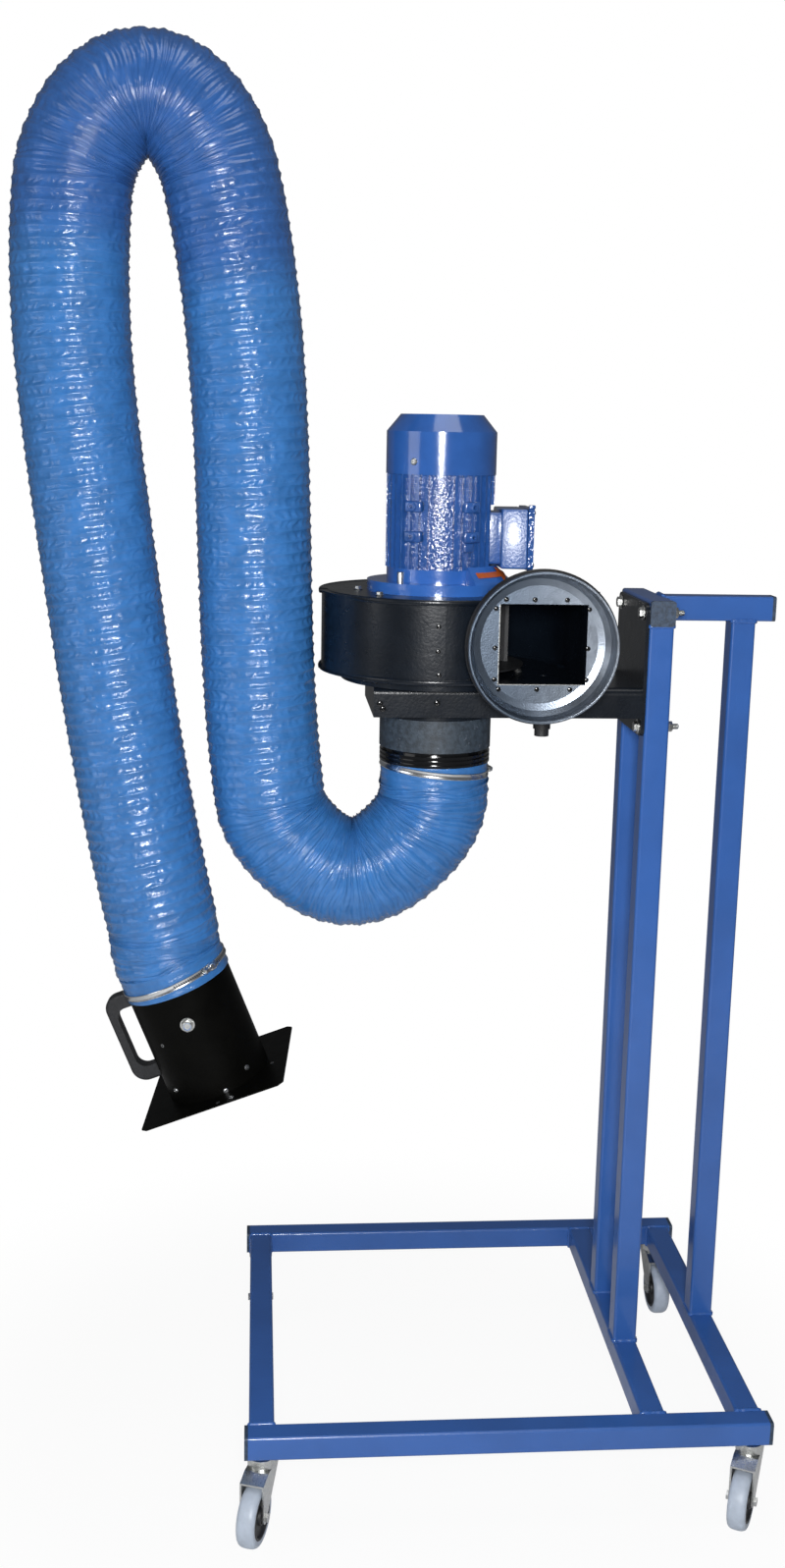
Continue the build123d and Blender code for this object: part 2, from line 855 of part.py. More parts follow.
def motor_cowl():
    """The fan cover over the motor's top, with slots in its chamfered end."""
    outer = cowl_diameter / 2
    inner = outer - cowl_sheet
    crown = outer - cowl_chamfer_depth
    shoulder = cowl_top - cowl_chamfer_height
    points = [
        (outer, motor_body_top),
        (outer, shoulder),
        (crown, cowl_top),
        (0, cowl_top),
        (0, cowl_top - cowl_sheet),
        (crown - cowl_sheet, cowl_top - cowl_sheet),
        (inner, shoulder),
        (inner, motor_body_top),
    ]
    cowl = turned(points, 0, 0)
    slot = SlotOverall(cowl_slot_length, cowl_slot_width)
    slot = Pos(cowl_slot_radius, 0, cowl_top - 2 * cowl_sheet) * extrude(slot, 2 * cut_overrun)
    for i in range(cowl_slot_count):
        cowl -= Rot(0, 0, 360 * i / cowl_slot_count) * slot
    save("motor_cowl", Pos(fan_x, mid_y, 0) * cowl)


def terminal_box():
    """The connection box on the motor's side, its lid and a plugged cable gland."""
    z1 = terminal_bottom + terminal_height
    half = terminal_half_width
    box = block(terminal_inner, terminal_outer, -half, half, terminal_bottom, z1)
    box = fillet(box.edges().filter_by(Axis.X), terminal_corner)
    box -= block(
        terminal_inner + terminal_wall,
        terminal_outer + cut_overrun,
        -half + terminal_wall,
        half - terminal_wall,
        terminal_bottom + terminal_wall,
        z1 - terminal_wall,
    )
    middle_x = (terminal_inner + terminal_outer) / 2
    middle_z = (terminal_bottom + z1) / 2
    box -= rod_along_y(middle_x, 0, half + cut_overrun, middle_z, gland_bore)
    place = Pos(fan_x, mid_y, 0)
    save("terminal_box", place * box)
    wide = half + lid_overhang
    lid = block(
        terminal_outer,
        terminal_outer + lid_thickness,
        -wide,
        wide,
        terminal_bottom - lid_overhang,
        z1 + lid_overhang,
    )
    lid = fillet(lid.edges().filter_by(Axis.X), terminal_corner)
    save("terminal_lid", place * lid)
    gland = nut_along_y(middle_x, half, half + gland_length - gland_cap_length, middle_z, gland_diameter)
    gland += rod_along_y(middle_x, half, half + gland_length, middle_z, gland_diameter - 2 * plug_wall)
    save("cable_gland", place * gland)


def impeller():
    """Nine backward-curved blades between a back plate and a shroud with the inlet eye."""
    top = casing_top - casing_sheet - impeller_top_gap
    bottom = casing_bottom + casing_sheet + impeller_bottom_gap
    outer = impeller_diameter / 2
    eye = impeller_eye / 2
    back = Pos(0, 0, top - impeller_sheet) * extrude(Circle(outer), impeller_sheet)
    shroud = Pos(0, 0, bottom) * extrude(Circle(outer) - Circle(eye), impeller_sheet)
    ring = Circle(outer - impeller_sheet) - Circle(eye)
    curve = Circle(blade_radius + blade_sheet / 2) - Circle(blade_radius - blade_sheet / 2)
    lean = math.radians(blade_lean)
    centre_x = (outer + eye) / 2 - blade_radius * math.cos(lean)
    centre_y = -blade_radius * math.sin(lean)
    window = Pos(outer / 2, outer / 2) * Rectangle(outer, outer)
    blade = (Pos(centre_x, centre_y) * curve & ring) & window
    height = top - bottom
    blades = Pos(0, 0, bottom) * extrude(blade, height)
    wheel = back + shroud
    for i in range(blade_count):
        wheel += Rot(0, 0, 360 * i / blade_count) * blades
    hub_bottom = top - impeller_hub_height
    wheel += upright(0, 0, hub_bottom, top, impeller_hub_diameter)
    wheel -= upright(0, 0, hub_bottom - cut_overrun, top + cut_overrun, shaft_diameter)
    save("impeller", Pos(fan_x, mid_y, 0) * wheel)


def rotor_shaft():
    """The motor's shaft with its rotor, from the impeller's hub to the cooling fan."""
    top = cowl_top - cowl_chamfer_height
    low = casing_top - casing_sheet - impeller_top_gap - impeller_hub_height
    middle = (motor_body_bottom + motor_body_top - end_wall - bearing_thickness) / 2
    shaft = upright(fan_x, mid_y, low, top, shaft_diameter)
    core = stator_bore_diameter - 2 * rotor_gap
    shaft += upright(fan_x, mid_y, middle - rotor_length / 2, middle + rotor_length / 2, core)
    save("rotor_shaft", shaft)


def cooling_fan():
    z0 = motor_body_top + end_wall
    z1 = z0 + cooling_fan_height
    hub = upright(0, 0, z0, z1, cooling_hub_diameter)
    disc = upright(0, 0, z0, z0 + cooling_disc, cooling_fan_diameter)
    wheel = hub + disc
    half = cooling_blade_thickness / 2
    blade = block(0, cooling_fan_diameter / 2, -half, half, z0, z1)
    for i in range(cooling_blade_count):
        wheel += Rot(0, 0, 360 * i / cooling_blade_count) * blade
    wheel -= upright(0, 0, z0 - cut_overrun, z1 + cut_overrun, shaft_diameter)
    save("cooling_fan", Pos(fan_x, mid_y, 0) * wheel)


def inlet_collar():
    """The fixed collar under the fan, with the ledge and slide ring that carry the swivel."""
    outer = collar_diameter / 2
    inner = outer - collar_wall
    ledge_top = collar_bottom + ledge_thickness
    points = [
        (ledge_bore / 2, collar_bottom),
        (outer, collar_bottom),
        (outer, inlet_ring_bottom),
        (inner, inlet_ring_bottom),
        (inner, ledge_top),
        (ledge_bore / 2, ledge_top),
    ]
    save("inlet_collar", turned(points, fan_x, mid_y))
    ring = Circle(inner - clamp_gap) - Circle(ledge_bore / 2)
    save("slide_ring", Pos(fan_x, mid_y, ledge_top) * extrude(ring, slide_ring_thickness))


def swivel_ring():
    """The turning ring: a flange on the slide ring, a grooved body and the hose's neck."""
    neck_in = ledge_bore / 2 - running_clearance
    flange_z = collar_bottom + ledge_thickness + slide_ring_thickness
    body = swivel_diameter / 2
    groove = body - swivel_groove_depth
    bore = swivel_bore / 2
    neck = neck_diameter / 2
    step = swivel_groove_width
    neck_end = swivel_bottom - neck_length
    points = [
        (bore, flange_z + swivel_flange_thickness),
        (swivel_flange_diameter / 2, flange_z + swivel_flange_thickness),
        (swivel_flange_diameter / 2, flange_z),
        (neck_in, flange_z),
        (neck_in, swivel_top),
        (body, swivel_top),
        (body, swivel_top - step),
        (groove, swivel_top - step),
        (groove, swivel_top - 2 * step),
        (body, swivel_top - 2 * step),
        (body, swivel_top - 3 * step),
        (groove, swivel_top - 3 * step),
        (groove, swivel_top - 4 * step),
        (body, swivel_top - 4 * step),
        (body, swivel_bottom),
        (neck, swivel_bottom),
        (neck, neck_end),
        (neck - neck_wall, neck_end),
        (neck - neck_wall, swivel_bottom),
        (bore, swivel_top - 2 * step),
    ]
    save("swivel_ring", turned(points, fan_x, mid_y))


def link(x0, z0, x1, z1, y0, y1):
    """A flat link with round ends between two points of the arm's plane."""
    length = math.hypot(x1 - x0, z1 - z0)
    turn = math.degrees(math.atan2(z1 - z0, x1 - x0))
    bar = extrude(SlotCenterToCenter(length, link_width), y1 - y0)
    place = Pos((x0 + x1) / 2, mid_y + y1, (z0 + z1) / 2) * Rot(0, -turn, 0) * Rot(90, 0, 0)
    return place * bar


def arm_tube(x0, z0, x1, z1):
    length = math.hypot(x1 - x0, z1 - z0)
    turn = math.degrees(math.atan2(x1 - x0, z1 - z0))
    ring = Circle(arm_diameter / 2) - Circle(arm_diameter / 2 - arm_wall)
    return Pos(x0, mid_y, z0) * Rot(0, turn, 0) * extrude(ring, length)


def fork_links(x0, z0, x1, z1):
    near = link(x0, z0, x1, z1, -fork_outer, -fork_inner)
    far = link(x0, z0, x1, z1, fork_inner, fork_outer)
    return near + far


def pivot_bore(x, z):
    reach = fork_outer + cut_overrun
    bore = pivot_diameter + 2 * running_clearance
    return rod_along_y(x, mid_y - reach, mid_y + reach, z, bore)


def pivot(node, x, z):
    """A pivot bolt with its nut, and the two friction discs between the links."""
    bolt = rod_along_y(x, mid_y - fork_outer, mid_y + fork_outer + pivot_head_height, z, pivot_diameter)
    head_y = mid_y - fork_outer - pivot_head_height
    bolt += nut_along_y(x, head_y, mid_y - fork_outer, z, pivot_head_diameter)
    y0 = mid_y + fork_outer
    nut = nut_along_y(x, y0, y0 + pivot_head_height, z, pivot_head_diameter)
    hole = rod_along_y(x, y0 - cut_overrun, y0 + 2 * pivot_head_height, z, pivot_diameter + bolt_clearance)
    ring = Circle(disc_diameter / 2) - Circle(pivot_diameter / 2 + bolt_clearance)
    disc = extrude(ring, disc_thickness)
    near = Pos(x, mid_y - link_thickness / 2, z) * Rot(90, 0, 0) * disc
    far = Pos(x, mid_y + fork_inner, z) * Rot(90, 0, 0) * disc
    save(node, bolt, nut - hole, near, far)


def swivel_bracket():
    """The bar welded across the neck and the drop tube with the shoulder's fork."""
    reach = neck_diameter / 2 - neck_wall - cuff_clearance
    bar = block(
        fan_x - swivel_bar_width / 2,
        fan_x + swivel_bar_width / 2,
        mid_y - reach,
        mid_y + reach,
        swivel_bar_bottom,
        swivel_bar_bottom + swivel_bar_height,
    )
    bar = bar & upright(fan_x, mid_y, swivel_bar_bottom, swivel_top, 2 * reach)
    drop = arm_tube(fan_x, swivel_tube_bottom, fan_x, swivel_bar_bottom)
    fork = fork_links(fan_x, swivel_tube_bottom, shoulder_x, shoulder_z)
    save("swivel_bracket", bar + drop + fork - pivot_bore(shoulder_x, shoulder_z))
    pivot("shoulder_pivot", shoulder_x, shoulder_z)


def lower_arm():
    half = link_thickness / 2
    foot_x, foot_z = lower_arm_foot_x, lower_arm_foot_height
    head_x, head_z = lower_arm_head_x, lower_arm_head_height
    arm = link(shoulder_x, shoulder_z, foot_x, foot_z, -half, half)
    arm += arm_tube(foot_x, foot_z, head_x, head_z)
    arm += fork_links(head_x, head_z, elbow_x, elbow_z)
    arm -= pivot_bore(shoulder_x, shoulder_z)
    arm -= pivot_bore(elbow_x, elbow_z)
    save("lower_arm", arm)
    pivot("elbow_pivot", elbow_x, elbow_z)


def upper_arm():
    half = link_thickness / 2
    head_x, head_z = upper_arm_head_x, upper_arm_head_height
    arm = link(elbow_x, elbow_z, head_x, head_z, -half, half)
    arm += arm_tube(head_x, head_z, wrist_x, wrist_height)
    reach = wrist_sleeve_half_length
    arm += rod_along_y(wrist_x, mid_y - reach, mid_y + reach, wrist_height, wrist_sleeve_diameter)
    bore = wrist_bolt_diameter + 2 * running_clearance
    reach += cut_overrun
    arm -= rod_along_y(wrist_x, mid_y - reach, mid_y + reach, wrist_height, bore)
    arm -= pivot_bore(elbow_x, elbow_z)
    save("upper_arm", arm)


def on_bend(centre_x, centre_z, radius, angle):
    """A point on a bend and the hose's heading there, both in the arm's plane."""
    c = math.cos(math.radians(angle))
    s = math.sin(math.radians(angle))
    return centre_x + radius * c, centre_z + radius * s, -s, c


def on_lower_bend(share):
    """From the swivel's neck down and round to the left; the angle runs clockwise."""
    angle = -lower_bend_sweep * share
    dip = lower_bend_dip * math.sin(2 * math.radians(angle)) ** 2
    x, z, dx, dz = on_bend(lower_bend_x, lower_bend_height, lower_bend_radius - dip, angle)
    return x, z, -dx, -dz


def on_upper_bend(share):
    angle = upper_bend_start + (upper_bend_end - upper_bend_start) * share
    rise = upper_bend_rise * math.sin(math.radians(angle)) ** 4
    return on_bend(upper_bend_x, upper_bend_height, upper_bend_radius + rise, angle)


def between(start, end, share):
    """A smooth curve from one station to another, leaving and arriving along their headings."""
    x0, z0, dx0, dz0 = start
    x1, z1, dx1, dz1 = end
    length = math.hypot(x1 - x0, z1 - z0)
    t = share
    a = 2 * t**3 - 3 * t**2 + 1
    b = t**3 - 2 * t**2 + t
    c = 3 * t**2 - 2 * t**3
    d = t**3 - t**2
    x = a * x0 + b * length * dx0 + c * x1 + d * length * dx1
    z = a * z0 + b * length * dz0 + c * z1 + d * length * dz1
    a = 6 * t**2 - 6 * t
    b = 3 * t**2 - 4 * t + 1
    d = 3 * t**2 - 2 * t
    dx = a * (x0 - x1) + length * (b * dx0 + d * dx1)
    dz = a * (z0 - z1) + length * (b * dz0 + d * dz1)
    size = math.hypot(dx, dz)
    return x, z, dx / size, dz / size


def downward(x, z, slope):
    """A station that heads down and to the right by the given slope."""
    size = math.hypot(1, slope)
    return x, z, slope / size, -1 / size


def hood_station(along):
    """A station on the hood's axis, the given length below the wrist."""
    x = wrist_x + along * hood_x_share
    z = wrist_height + along * hood_z_share
    return x, z, hood_x_share, hood_z_share


def on_lower_leg(share):
    return between(on_lower_bend(1), on_upper_bend(0), share)


def on_upper_leg(share):
    middle = downward(leg_middle_x, leg_middle_height, leg_middle_slope)
    end = downward(leg_end_x, leg_end_height, leg_end_slope)
    top = on_upper_bend(1)
    first = math.hypot(top[0] - middle[0], top[1] - middle[1])
    second = math.hypot(end[0] - middle[0], end[1] - middle[1])
    split = first / (first + second)
    if share <= split:
        return between(top, middle, share / split)
    return between(middle, end, (share - split) / (1 - split))


def on_wrist_bend(share):
    end = downward(leg_end_x, leg_end_height, leg_end_slope)
    return between(end, hood_station(-hood_above_pivot - 2 * cut_overrun), share)


def ring_at(station, radius):
    x, z, dx, dz = station
    plane = Plane(origin=(x, mid_y, z), x_dir=(0, 1, 0), z_dir=(dx, 0, dz))
    return plane * Circle(radius)


def path_length(station, steps=40):
    points = [station(i / steps)[:2] for i in range(steps + 1)]
    return sum(math.dist(p, q) for p, q in zip(points, points[1:]))


def through(rings, bends):
    """One solid through all the rings; in a bend each pair has its own loft, or it folds."""
    if not bends:
        return loft(rings, ruled=True)
    lengths = [loft(list(pair), ruled=True) for pair in zip(rings, rings[1:])]
    return Part() + lengths


def ribbed_hose(station, bends=False, before=(), after=()):
    """A bellows of one rib for each pitch, with its bore; before and after hold plain ends."""
    crest = hose_crest_diameter / 2
    valley = hose_valley_diameter / 2
    count = max(1, round(path_length(station) / rib_pitch))
    outside = [ring_at(s, radius + cuff_wall) for s, radius in before]
    inside = [ring_at(s, radius) for s, radius in before]
    for i in range(count):
        if i == 0:
            outside.append(ring_at(station(0), valley))
            inside.append(ring_at(station(0), valley - hose_wall))
        for share, radius in ((rib_rise_share, crest), (1 - rib_rise_share, crest), (1, valley)):
            outside.append(ring_at(station((i + share) / count), radius))
        inside.append(ring_at(station((i + 1 / 2) / count), valley - hose_wall))
        inside.append(ring_at(station((i + 1) / count), valley - hose_wall))
    outside += [ring_at(s, radius + cuff_wall) for s, radius in after]
    inside += [ring_at(s, radius) for s, radius in after]
    print("ribs", count, "length", round(path_length(station)))
    return through(outside, bends) - through(inside, bends)


def hose():
    """The ribbed hose in five lengths: two legs that stay straight and three that bend."""
    neck_end = swivel_bottom - neck_length
    cuff = [
        ((fan_x, z, 0, -1), neck_cuff_inner)
        for z in (swivel_bottom - race_gap, neck_end - cut_overrun)
    ]
    save("hose_lower_bend", ribbed_hose(on_lower_bend, True, before=cuff))
    save("hose_lower_leg", ribbed_hose(on_lower_leg))
    save("hose_upper_bend", ribbed_hose(on_upper_bend, True))
    save("hose_upper_leg", ribbed_hose(on_upper_leg))
    cuff = [
        (hood_station(along), hood_cuff_inner)
        for along in (-cut_overrun - hood_above_pivot, -hose_end_above_pivot)
    ]
    save("hose_wrist_bend", ribbed_hose(on_wrist_bend, True, after=cuff))


def hose_clamp(cuff_inner):
    """A worm-drive band about the upright axis, round a cuff, with its housing on the near side."""
    inner = cuff_inner + cuff_wall + clamp_gap
    ring = Circle(inner + clamp_thickness) - Circle(inner)
    band = extrude(ring, clamp_width)
    y0 = -inner - clamp_thickness - worm_height
    middle = clamp_width / 2
    worm = block(
        -worm_length / 2,
        worm_length / 2,
        y0,
        -inner - clamp_thickness / 2,
        middle - worm_width / 2,
        middle + worm_width / 2,
    )
    return band + fillet(worm.edges().filter_by(Axis.X), clamp_thickness)


def along_hood(solid):
    """Moves a solid built about an upright axis, downward positive, on to the hood's axis."""
    return Pos(wrist_x, mid_y, wrist_height) * Rot(0, -hood_tilt, 0) * Rot(180, 0, 0) * solid


def clamps():
    z = swivel_bottom - clamp_inset - clamp_width
    clamp = Rot(0, 0, inlet_clamp_turn) * hose_clamp(neck_cuff_inner)
    save("inlet_clamp", Pos(fan_x, mid_y, z) * clamp)
    low = -hose_end_above_pivot - hood_clamp_inset - clamp_width
    clamp = Rot(0, 0, hood_clamp_turn) * hose_clamp(hood_cuff_inner)
    save("hood_clamp", along_hood(Pos(0, 0, low) * clamp))


def hood():
    """The hood's pipe on its wrist bolt, the square flange at its mouth and the bow handle."""
    outer = hood_pipe_diameter / 2
    ring = Circle(outer) - Circle(outer - hood_pipe_wall)
    pipe = Pos(0, 0, -hood_above_pivot) * extrude(ring, hood_above_pivot + hood_below_pivot)
    bore = wrist_bolt_diameter + bolt_clearance
    pipe -= rod_along_y(0, -outer - cut_overrun, outer + cut_overrun, 0, bore)
    save("hood_pipe", along_hood(pipe))
    hole = Circle(outer - hood_pipe_wall)
    plate = extrude(plate_outline() - hole, hood_plate_thickness)
    plate = Pos(0, 0, hood_below_pivot) * Rot(0, 0, hood_turn) * plate
    save("hood_plate", along_hood(plate))
    save("hood_handle", along_hood(Rot(0, 0, hood_turn) * bow_handle()))
    bolt = rod_along_y(0, -outer, outer + wrist_nut_height, 0, wrist_bolt_diameter)
    bolt += nut_along_y(0, -outer - wrist_nut_height, -outer, 0, wrist_nut_diameter)
    nut = nut_along_y(0, outer, outer + wrist_nut_height, 0, wrist_nut_diameter)
    nut -= rod_along_y(0, outer - cut_overrun, outer + 2 * wrist_nut_height, 0, bore)
    save("wrist_bolt", along_hood(bolt), along_hood(nut))


def plate_outline():
    sheet = Rectangle(hood_plate_length, hood_plate_width)
    return chamfer(sheet.vertices(), hood_plate_chamfer)


def bow_handle():
    """A moulded bow on the left of the pipe, in the arm's plane, with two feet."""
    outer = hood_pipe_diameter / 2
    reach = outer + handle_reach
    length = handle_bottom - handle_top
    middle = (handle_top + handle_bottom) / 2
    depth = reach - outer / 2
    bow = Pos(-reach + depth / 2, middle) * Rectangle(depth, length)
    bow = fillet(bow.vertices().sort_by(Axis.X)[:2], handle_round)
    inner_depth = depth - handle_grip
    gap = Pos(-reach + handle_grip + inner_depth / 2, middle) * Rectangle(
        inner_depth, length - 2 * handle_foot
    )
    gap = fillet(gap.vertices().sort_by(Axis.X)[:2], handle_round - handle_grip / 2)
    section = bow - gap
    solid = Pos(0, handle_width / 2, 0) * Rot(90, 0, 0) * extrude(section, handle_width)
    solid = fillet(solid.edges().filter_by(Axis.Z).sort_by(Axis.X)[:2], handle_grip / 3)
    pipe = upright(0, 0, 2 * handle_top, 2 * handle_bottom, hood_pipe_diameter)
    cuff = 2 * (hood_cuff_inner + cuff_wall + handle_cuff_gap)
    low = -hose_end_above_pivot + handle_cuff_gap
    return solid - pipe - upright(0, 0, 2 * handle_top, low, cuff)


base_frame()
posts()
top_beams()
end_plugs()
castors()
casing()
inlet_ring()
outlet_spigot()
fan_bracket()
mounting_plate()
drain_spout()
motor_flange()
motor_body()
motor_bearings()
motor_cowl()
terminal_box()
impeller()
rotor_shaft()
cooling_fan()
inlet_collar()
swivel_ring()
swivel_bracket()
lower_arm()
upper_arm()
hose()
clamps()
hood()
print("swivel axis", (fan_x, mid_y, collar_bottom))
print("shoulder", (shoulder_x, mid_y, shoulder_z), "elbow", (elbow_x, mid_y, elbow_z))
print("wrist", (wrist_x, mid_y, wrist_height))
print("outlet", (outlet_x, spigot_front_y, casing_middle))
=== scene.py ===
import json
import math

import bmesh
import bpy
from mathutils import Matrix, Vector, noise


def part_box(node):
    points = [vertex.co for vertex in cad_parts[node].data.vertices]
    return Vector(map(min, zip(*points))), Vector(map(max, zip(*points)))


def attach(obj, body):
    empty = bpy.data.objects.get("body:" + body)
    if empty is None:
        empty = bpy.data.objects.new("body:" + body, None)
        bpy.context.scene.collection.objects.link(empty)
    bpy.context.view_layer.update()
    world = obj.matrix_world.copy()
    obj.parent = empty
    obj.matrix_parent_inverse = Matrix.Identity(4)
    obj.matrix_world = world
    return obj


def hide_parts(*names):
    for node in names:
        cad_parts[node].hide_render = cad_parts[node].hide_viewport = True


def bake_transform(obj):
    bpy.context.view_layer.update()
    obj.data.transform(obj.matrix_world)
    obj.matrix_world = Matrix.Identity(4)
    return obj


bl_info = {
    "name": "Mobile extraction arm dresser",
    "version": (1, 0, 0),
    "blender": (4, 5, 0),
    "location": "View3D > Sidebar > Extraction Arm",
    "description": "Dresses the frame of a mobile extraction arm with pieces and finishes",
    "category": "Object",
}

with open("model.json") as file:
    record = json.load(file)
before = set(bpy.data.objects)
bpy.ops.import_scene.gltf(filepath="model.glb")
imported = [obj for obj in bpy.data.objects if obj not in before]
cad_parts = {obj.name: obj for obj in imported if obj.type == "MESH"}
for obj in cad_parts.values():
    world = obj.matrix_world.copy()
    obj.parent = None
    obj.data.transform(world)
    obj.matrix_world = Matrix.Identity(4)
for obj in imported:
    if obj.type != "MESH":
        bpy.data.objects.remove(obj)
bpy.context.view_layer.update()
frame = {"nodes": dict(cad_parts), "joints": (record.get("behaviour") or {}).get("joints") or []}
nodes = frame["nodes"]
joint_of = {joint["name"]: joint for joint in frame["joints"]}


# Colours and places
def linear(red, green, blue):
    """A colour as a picture shows it, 0 to 255, as the linear values that a shader takes."""
    shares = [value / 255 for value in (red, green, blue)]
    return tuple(s / 12.92 if s <= 0.04045 else ((s + 0.055) / 1.055) ** 2.4 for s in shares)


def middle(node):
    low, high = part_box(node)
    return (low + high) / 2


def aimed(point, towards):
    """A place at a point with its own Z turned towards a direction."""
    turn = Vector(towards).to_track_quat("Z", "Y")
    return Matrix.Translation(Vector(point)) @ turn.to_matrix().to_4x4()


def around(centre, radius, azimuth, height):
    """A point on an upright cylinder; the azimuth is in degrees."""
    level = Vector((centre.x, centre.y, 0)) + outward(azimuth) * radius
    return level + Vector((0, 0, height))


def outward(azimuth):
    angle = math.radians(azimuth)
    return Vector((math.cos(angle), math.sin(angle), 0))


def shifted(x, y, z):
    return Matrix.Translation((x, y, z))


def spun(degrees, axis):
    return Matrix.Rotation(math.radians(degrees), 4, axis)


# Settings
colour_field = {"subtype": "COLOR", "min": 0, "max": 1}
length_field = {"unit": "LENGTH", "subtype": "DISTANCE"}
angle_field = {"unit": "ROTATION", "subtype": "ANGLE"}


class ArmColours(bpy.types.PropertyGroup):
    frame_paint: bpy.props.FloatVectorProperty(
        name="Frame paint", description="Gloss paint on the welded tubes",
        default=linear(46, 90, 160), **colour_field)
    motor_paint: bpy.props.FloatVectorProperty(
        name="Motor paint", description="Thick paint on the cast motor",
        default=linear(42, 86, 155), **colour_field)
    casing_paint: bpy.props.FloatVectorProperty(
        name="Casing paint", description="Black gloss paint on the fan casing and bracket",
        default=linear(13, 19, 27), **colour_field)
    hood_paint: bpy.props.FloatVectorProperty(
        name="Hood paint", description="Black paint on the hood",
        default=linear(7, 7, 6), **colour_field)
    collar_paint: bpy.props.FloatVectorProperty(
        name="Collar paint", description="Rubbed grey-black on the inlet collar",
        default=linear(48, 58, 68), **colour_field)
    hose_film: bpy.props.FloatVectorProperty(
        name="Hose film", description="Coated fabric of the hose",
        default=linear(54, 111, 174), **colour_field)
    tyre: bpy.props.FloatVectorProperty(
        name="Tyre", description="Pale non-marking tyre",
        default=linear(172, 182, 196), **colour_field)
    plastic: bpy.props.FloatVectorProperty(
        name="Black plastic", description="Moulded plugs, hubs and handle",
        default=linear(30, 31, 34), **colour_field)
    zinc: bpy.props.FloatVectorProperty(
        name="Zinc", description="Bright plated steel",
        default=linear(205, 206, 204), **colour_field)
    outlet_metal: bpy.props.FloatVectorProperty(
        name="Outlet metal", description="Bare grey metal of the outlet's dish",
        default=linear(146, 154, 165), **colour_field)


class ArmSizes(bpy.types.PropertyGroup):
    hose_ribs: bpy.props.IntProperty(
        name="Hose ribs", description="Turns of the wire over the whole hose", default=172, min=40)
    crest_radius: bpy.props.FloatProperty(
        name="Hose crest radius", description="From the hose's middle to the film over a wire",
        default=0.0795, **length_field)
    film_sag: bpy.props.FloatProperty(
        name="Film sag", description="How far the film sinks between two wires",
        default=0.0014, **length_field)
    wrinkle: bpy.props.FloatProperty(
        name="Film wrinkles", description="Depth of the slanted folds between two wires",
        default=0.0028, **length_field)
    pleat: bpy.props.FloatProperty(
        name="Film pleats", description="Depth of the pleats on the inner side of a bend",
        default=0.0024, **length_field)
    hood_tilt: bpy.props.FloatProperty(
        name="Hood tilt", description="Lean of the hood from upright",
        default=math.radians(21.5), **angle_field)
    rim_height: bpy.props.FloatProperty(
        name="Casing rim height", description="Height of the folded rims of the casing's plates",
        default=0.0075, **length_field)
    weld_width: bpy.props.FloatProperty(
        name="Weld width", description="Width of the weld beads on the frame",
        default=0.0075, **length_field)


class ArmView(bpy.types.PropertyGroup):
    place: bpy.props.FloatVectorProperty(
        name="Camera place", description="Where the camera stands",
        default=(-0.2036, -2.3171, 1.4896), unit="LENGTH", subtype="TRANSLATION")
    yaw: bpy.props.FloatProperty(
        name="Camera yaw", description="Turn to the right from straight ahead",
        default=math.radians(4.719), **angle_field)
    pitch: bpy.props.FloatProperty(
        name="Camera pitch", description="Tilt upwards from level",
        default=math.radians(-12.104), **angle_field)
    roll: bpy.props.FloatProperty(
        name="Camera roll", description="Turn about the line of sight",
        default=math.radians(1.105), **angle_field)
    lens: bpy.props.FloatProperty(
        name="Lens", description="Focal length for a 36 mm tall picture", default=38.59,
        unit="CAMERA")


# Finishes
def shader_of(material):
    return material.node_tree.nodes["Principled BSDF"]


def new_material(name):
    material = bpy.data.materials.new(name)
    material.use_nodes = True
    return material


def set_inputs(node, values):
    for socket, value in dict(values).items():
        node.inputs[socket].default_value = value


def add_node(owner, kind, values=()):
    """A new shader node of a material or world, with some of its inputs set."""
    node = owner.node_tree.nodes.new("ShaderNode" + kind)
    set_inputs(node, values)
    return node


def join(owner, source, output, target, socket):
    owner.node_tree.links.new(source.outputs[output], target.inputs[socket])


def noise_at(material, where, size, detail=3.0, roughness=0.55, output="Object"):
    """A noise texture whose lumps are about the given size across."""
    values = {"Scale": 1 / size, "Detail": detail, "Roughness": roughness}
    texture = add_node(material, "TexNoise", values)
    join(material, where, output, texture, "Vector")
    return texture


def ramp(material, low, high, source, output="Fac", base=0.0):
    """A smooth step from 0, or the base, at low to 1 at high."""
    step = add_node(material, "MapRange", {"From Min": low, "From Max": high, "To Min": base})
    step.interpolation_type = "SMOOTHSTEP"
    join(material, source, output, step, "Value")
    return step


def mixed(material, factor, first, second, blend_type="MIX"):
    """Two colours or colour nodes mixed by a 0 to 1 output."""
    blend_node = add_node(material, "Mix")
    blend_node.data_type = "RGBA"
    blend_node.blend_type = blend_type
    join(material, factor, 0, blend_node, 0)
    for socket, value in ((6, first), (7, second)):
        if isinstance(value, bpy.types.Node):
            join(material, value, 2, blend_node, socket)
        else:
            blend_node.inputs[socket].default_value = (*value, 1)
    return blend_node


def bumped(material, height, distance, strength=1.0, under=None):
    """A bump map by a texture, laid over another bump map if there is one."""
    bump = add_node(material, "Bump", {"Strength": strength, "Distance": distance})
    join(material, height, "Fac", bump, "Height")
    if under:
        join(material, under, "Normal", bump, "Normal")
    return bump


def uneven_gloss(material, source, low, high):
    """Roughness between two values, as a texture has it."""
    gloss = add_node(material, "MapRange", {"To Min": low, "To Max": high})
    join(material, source, "Fac", gloss, "Value")
    join(material, gloss, "Result", shader_of(material), "Roughness")


def scaled(colour, factor):
    return tuple(min(1, c * factor) for c in colour)


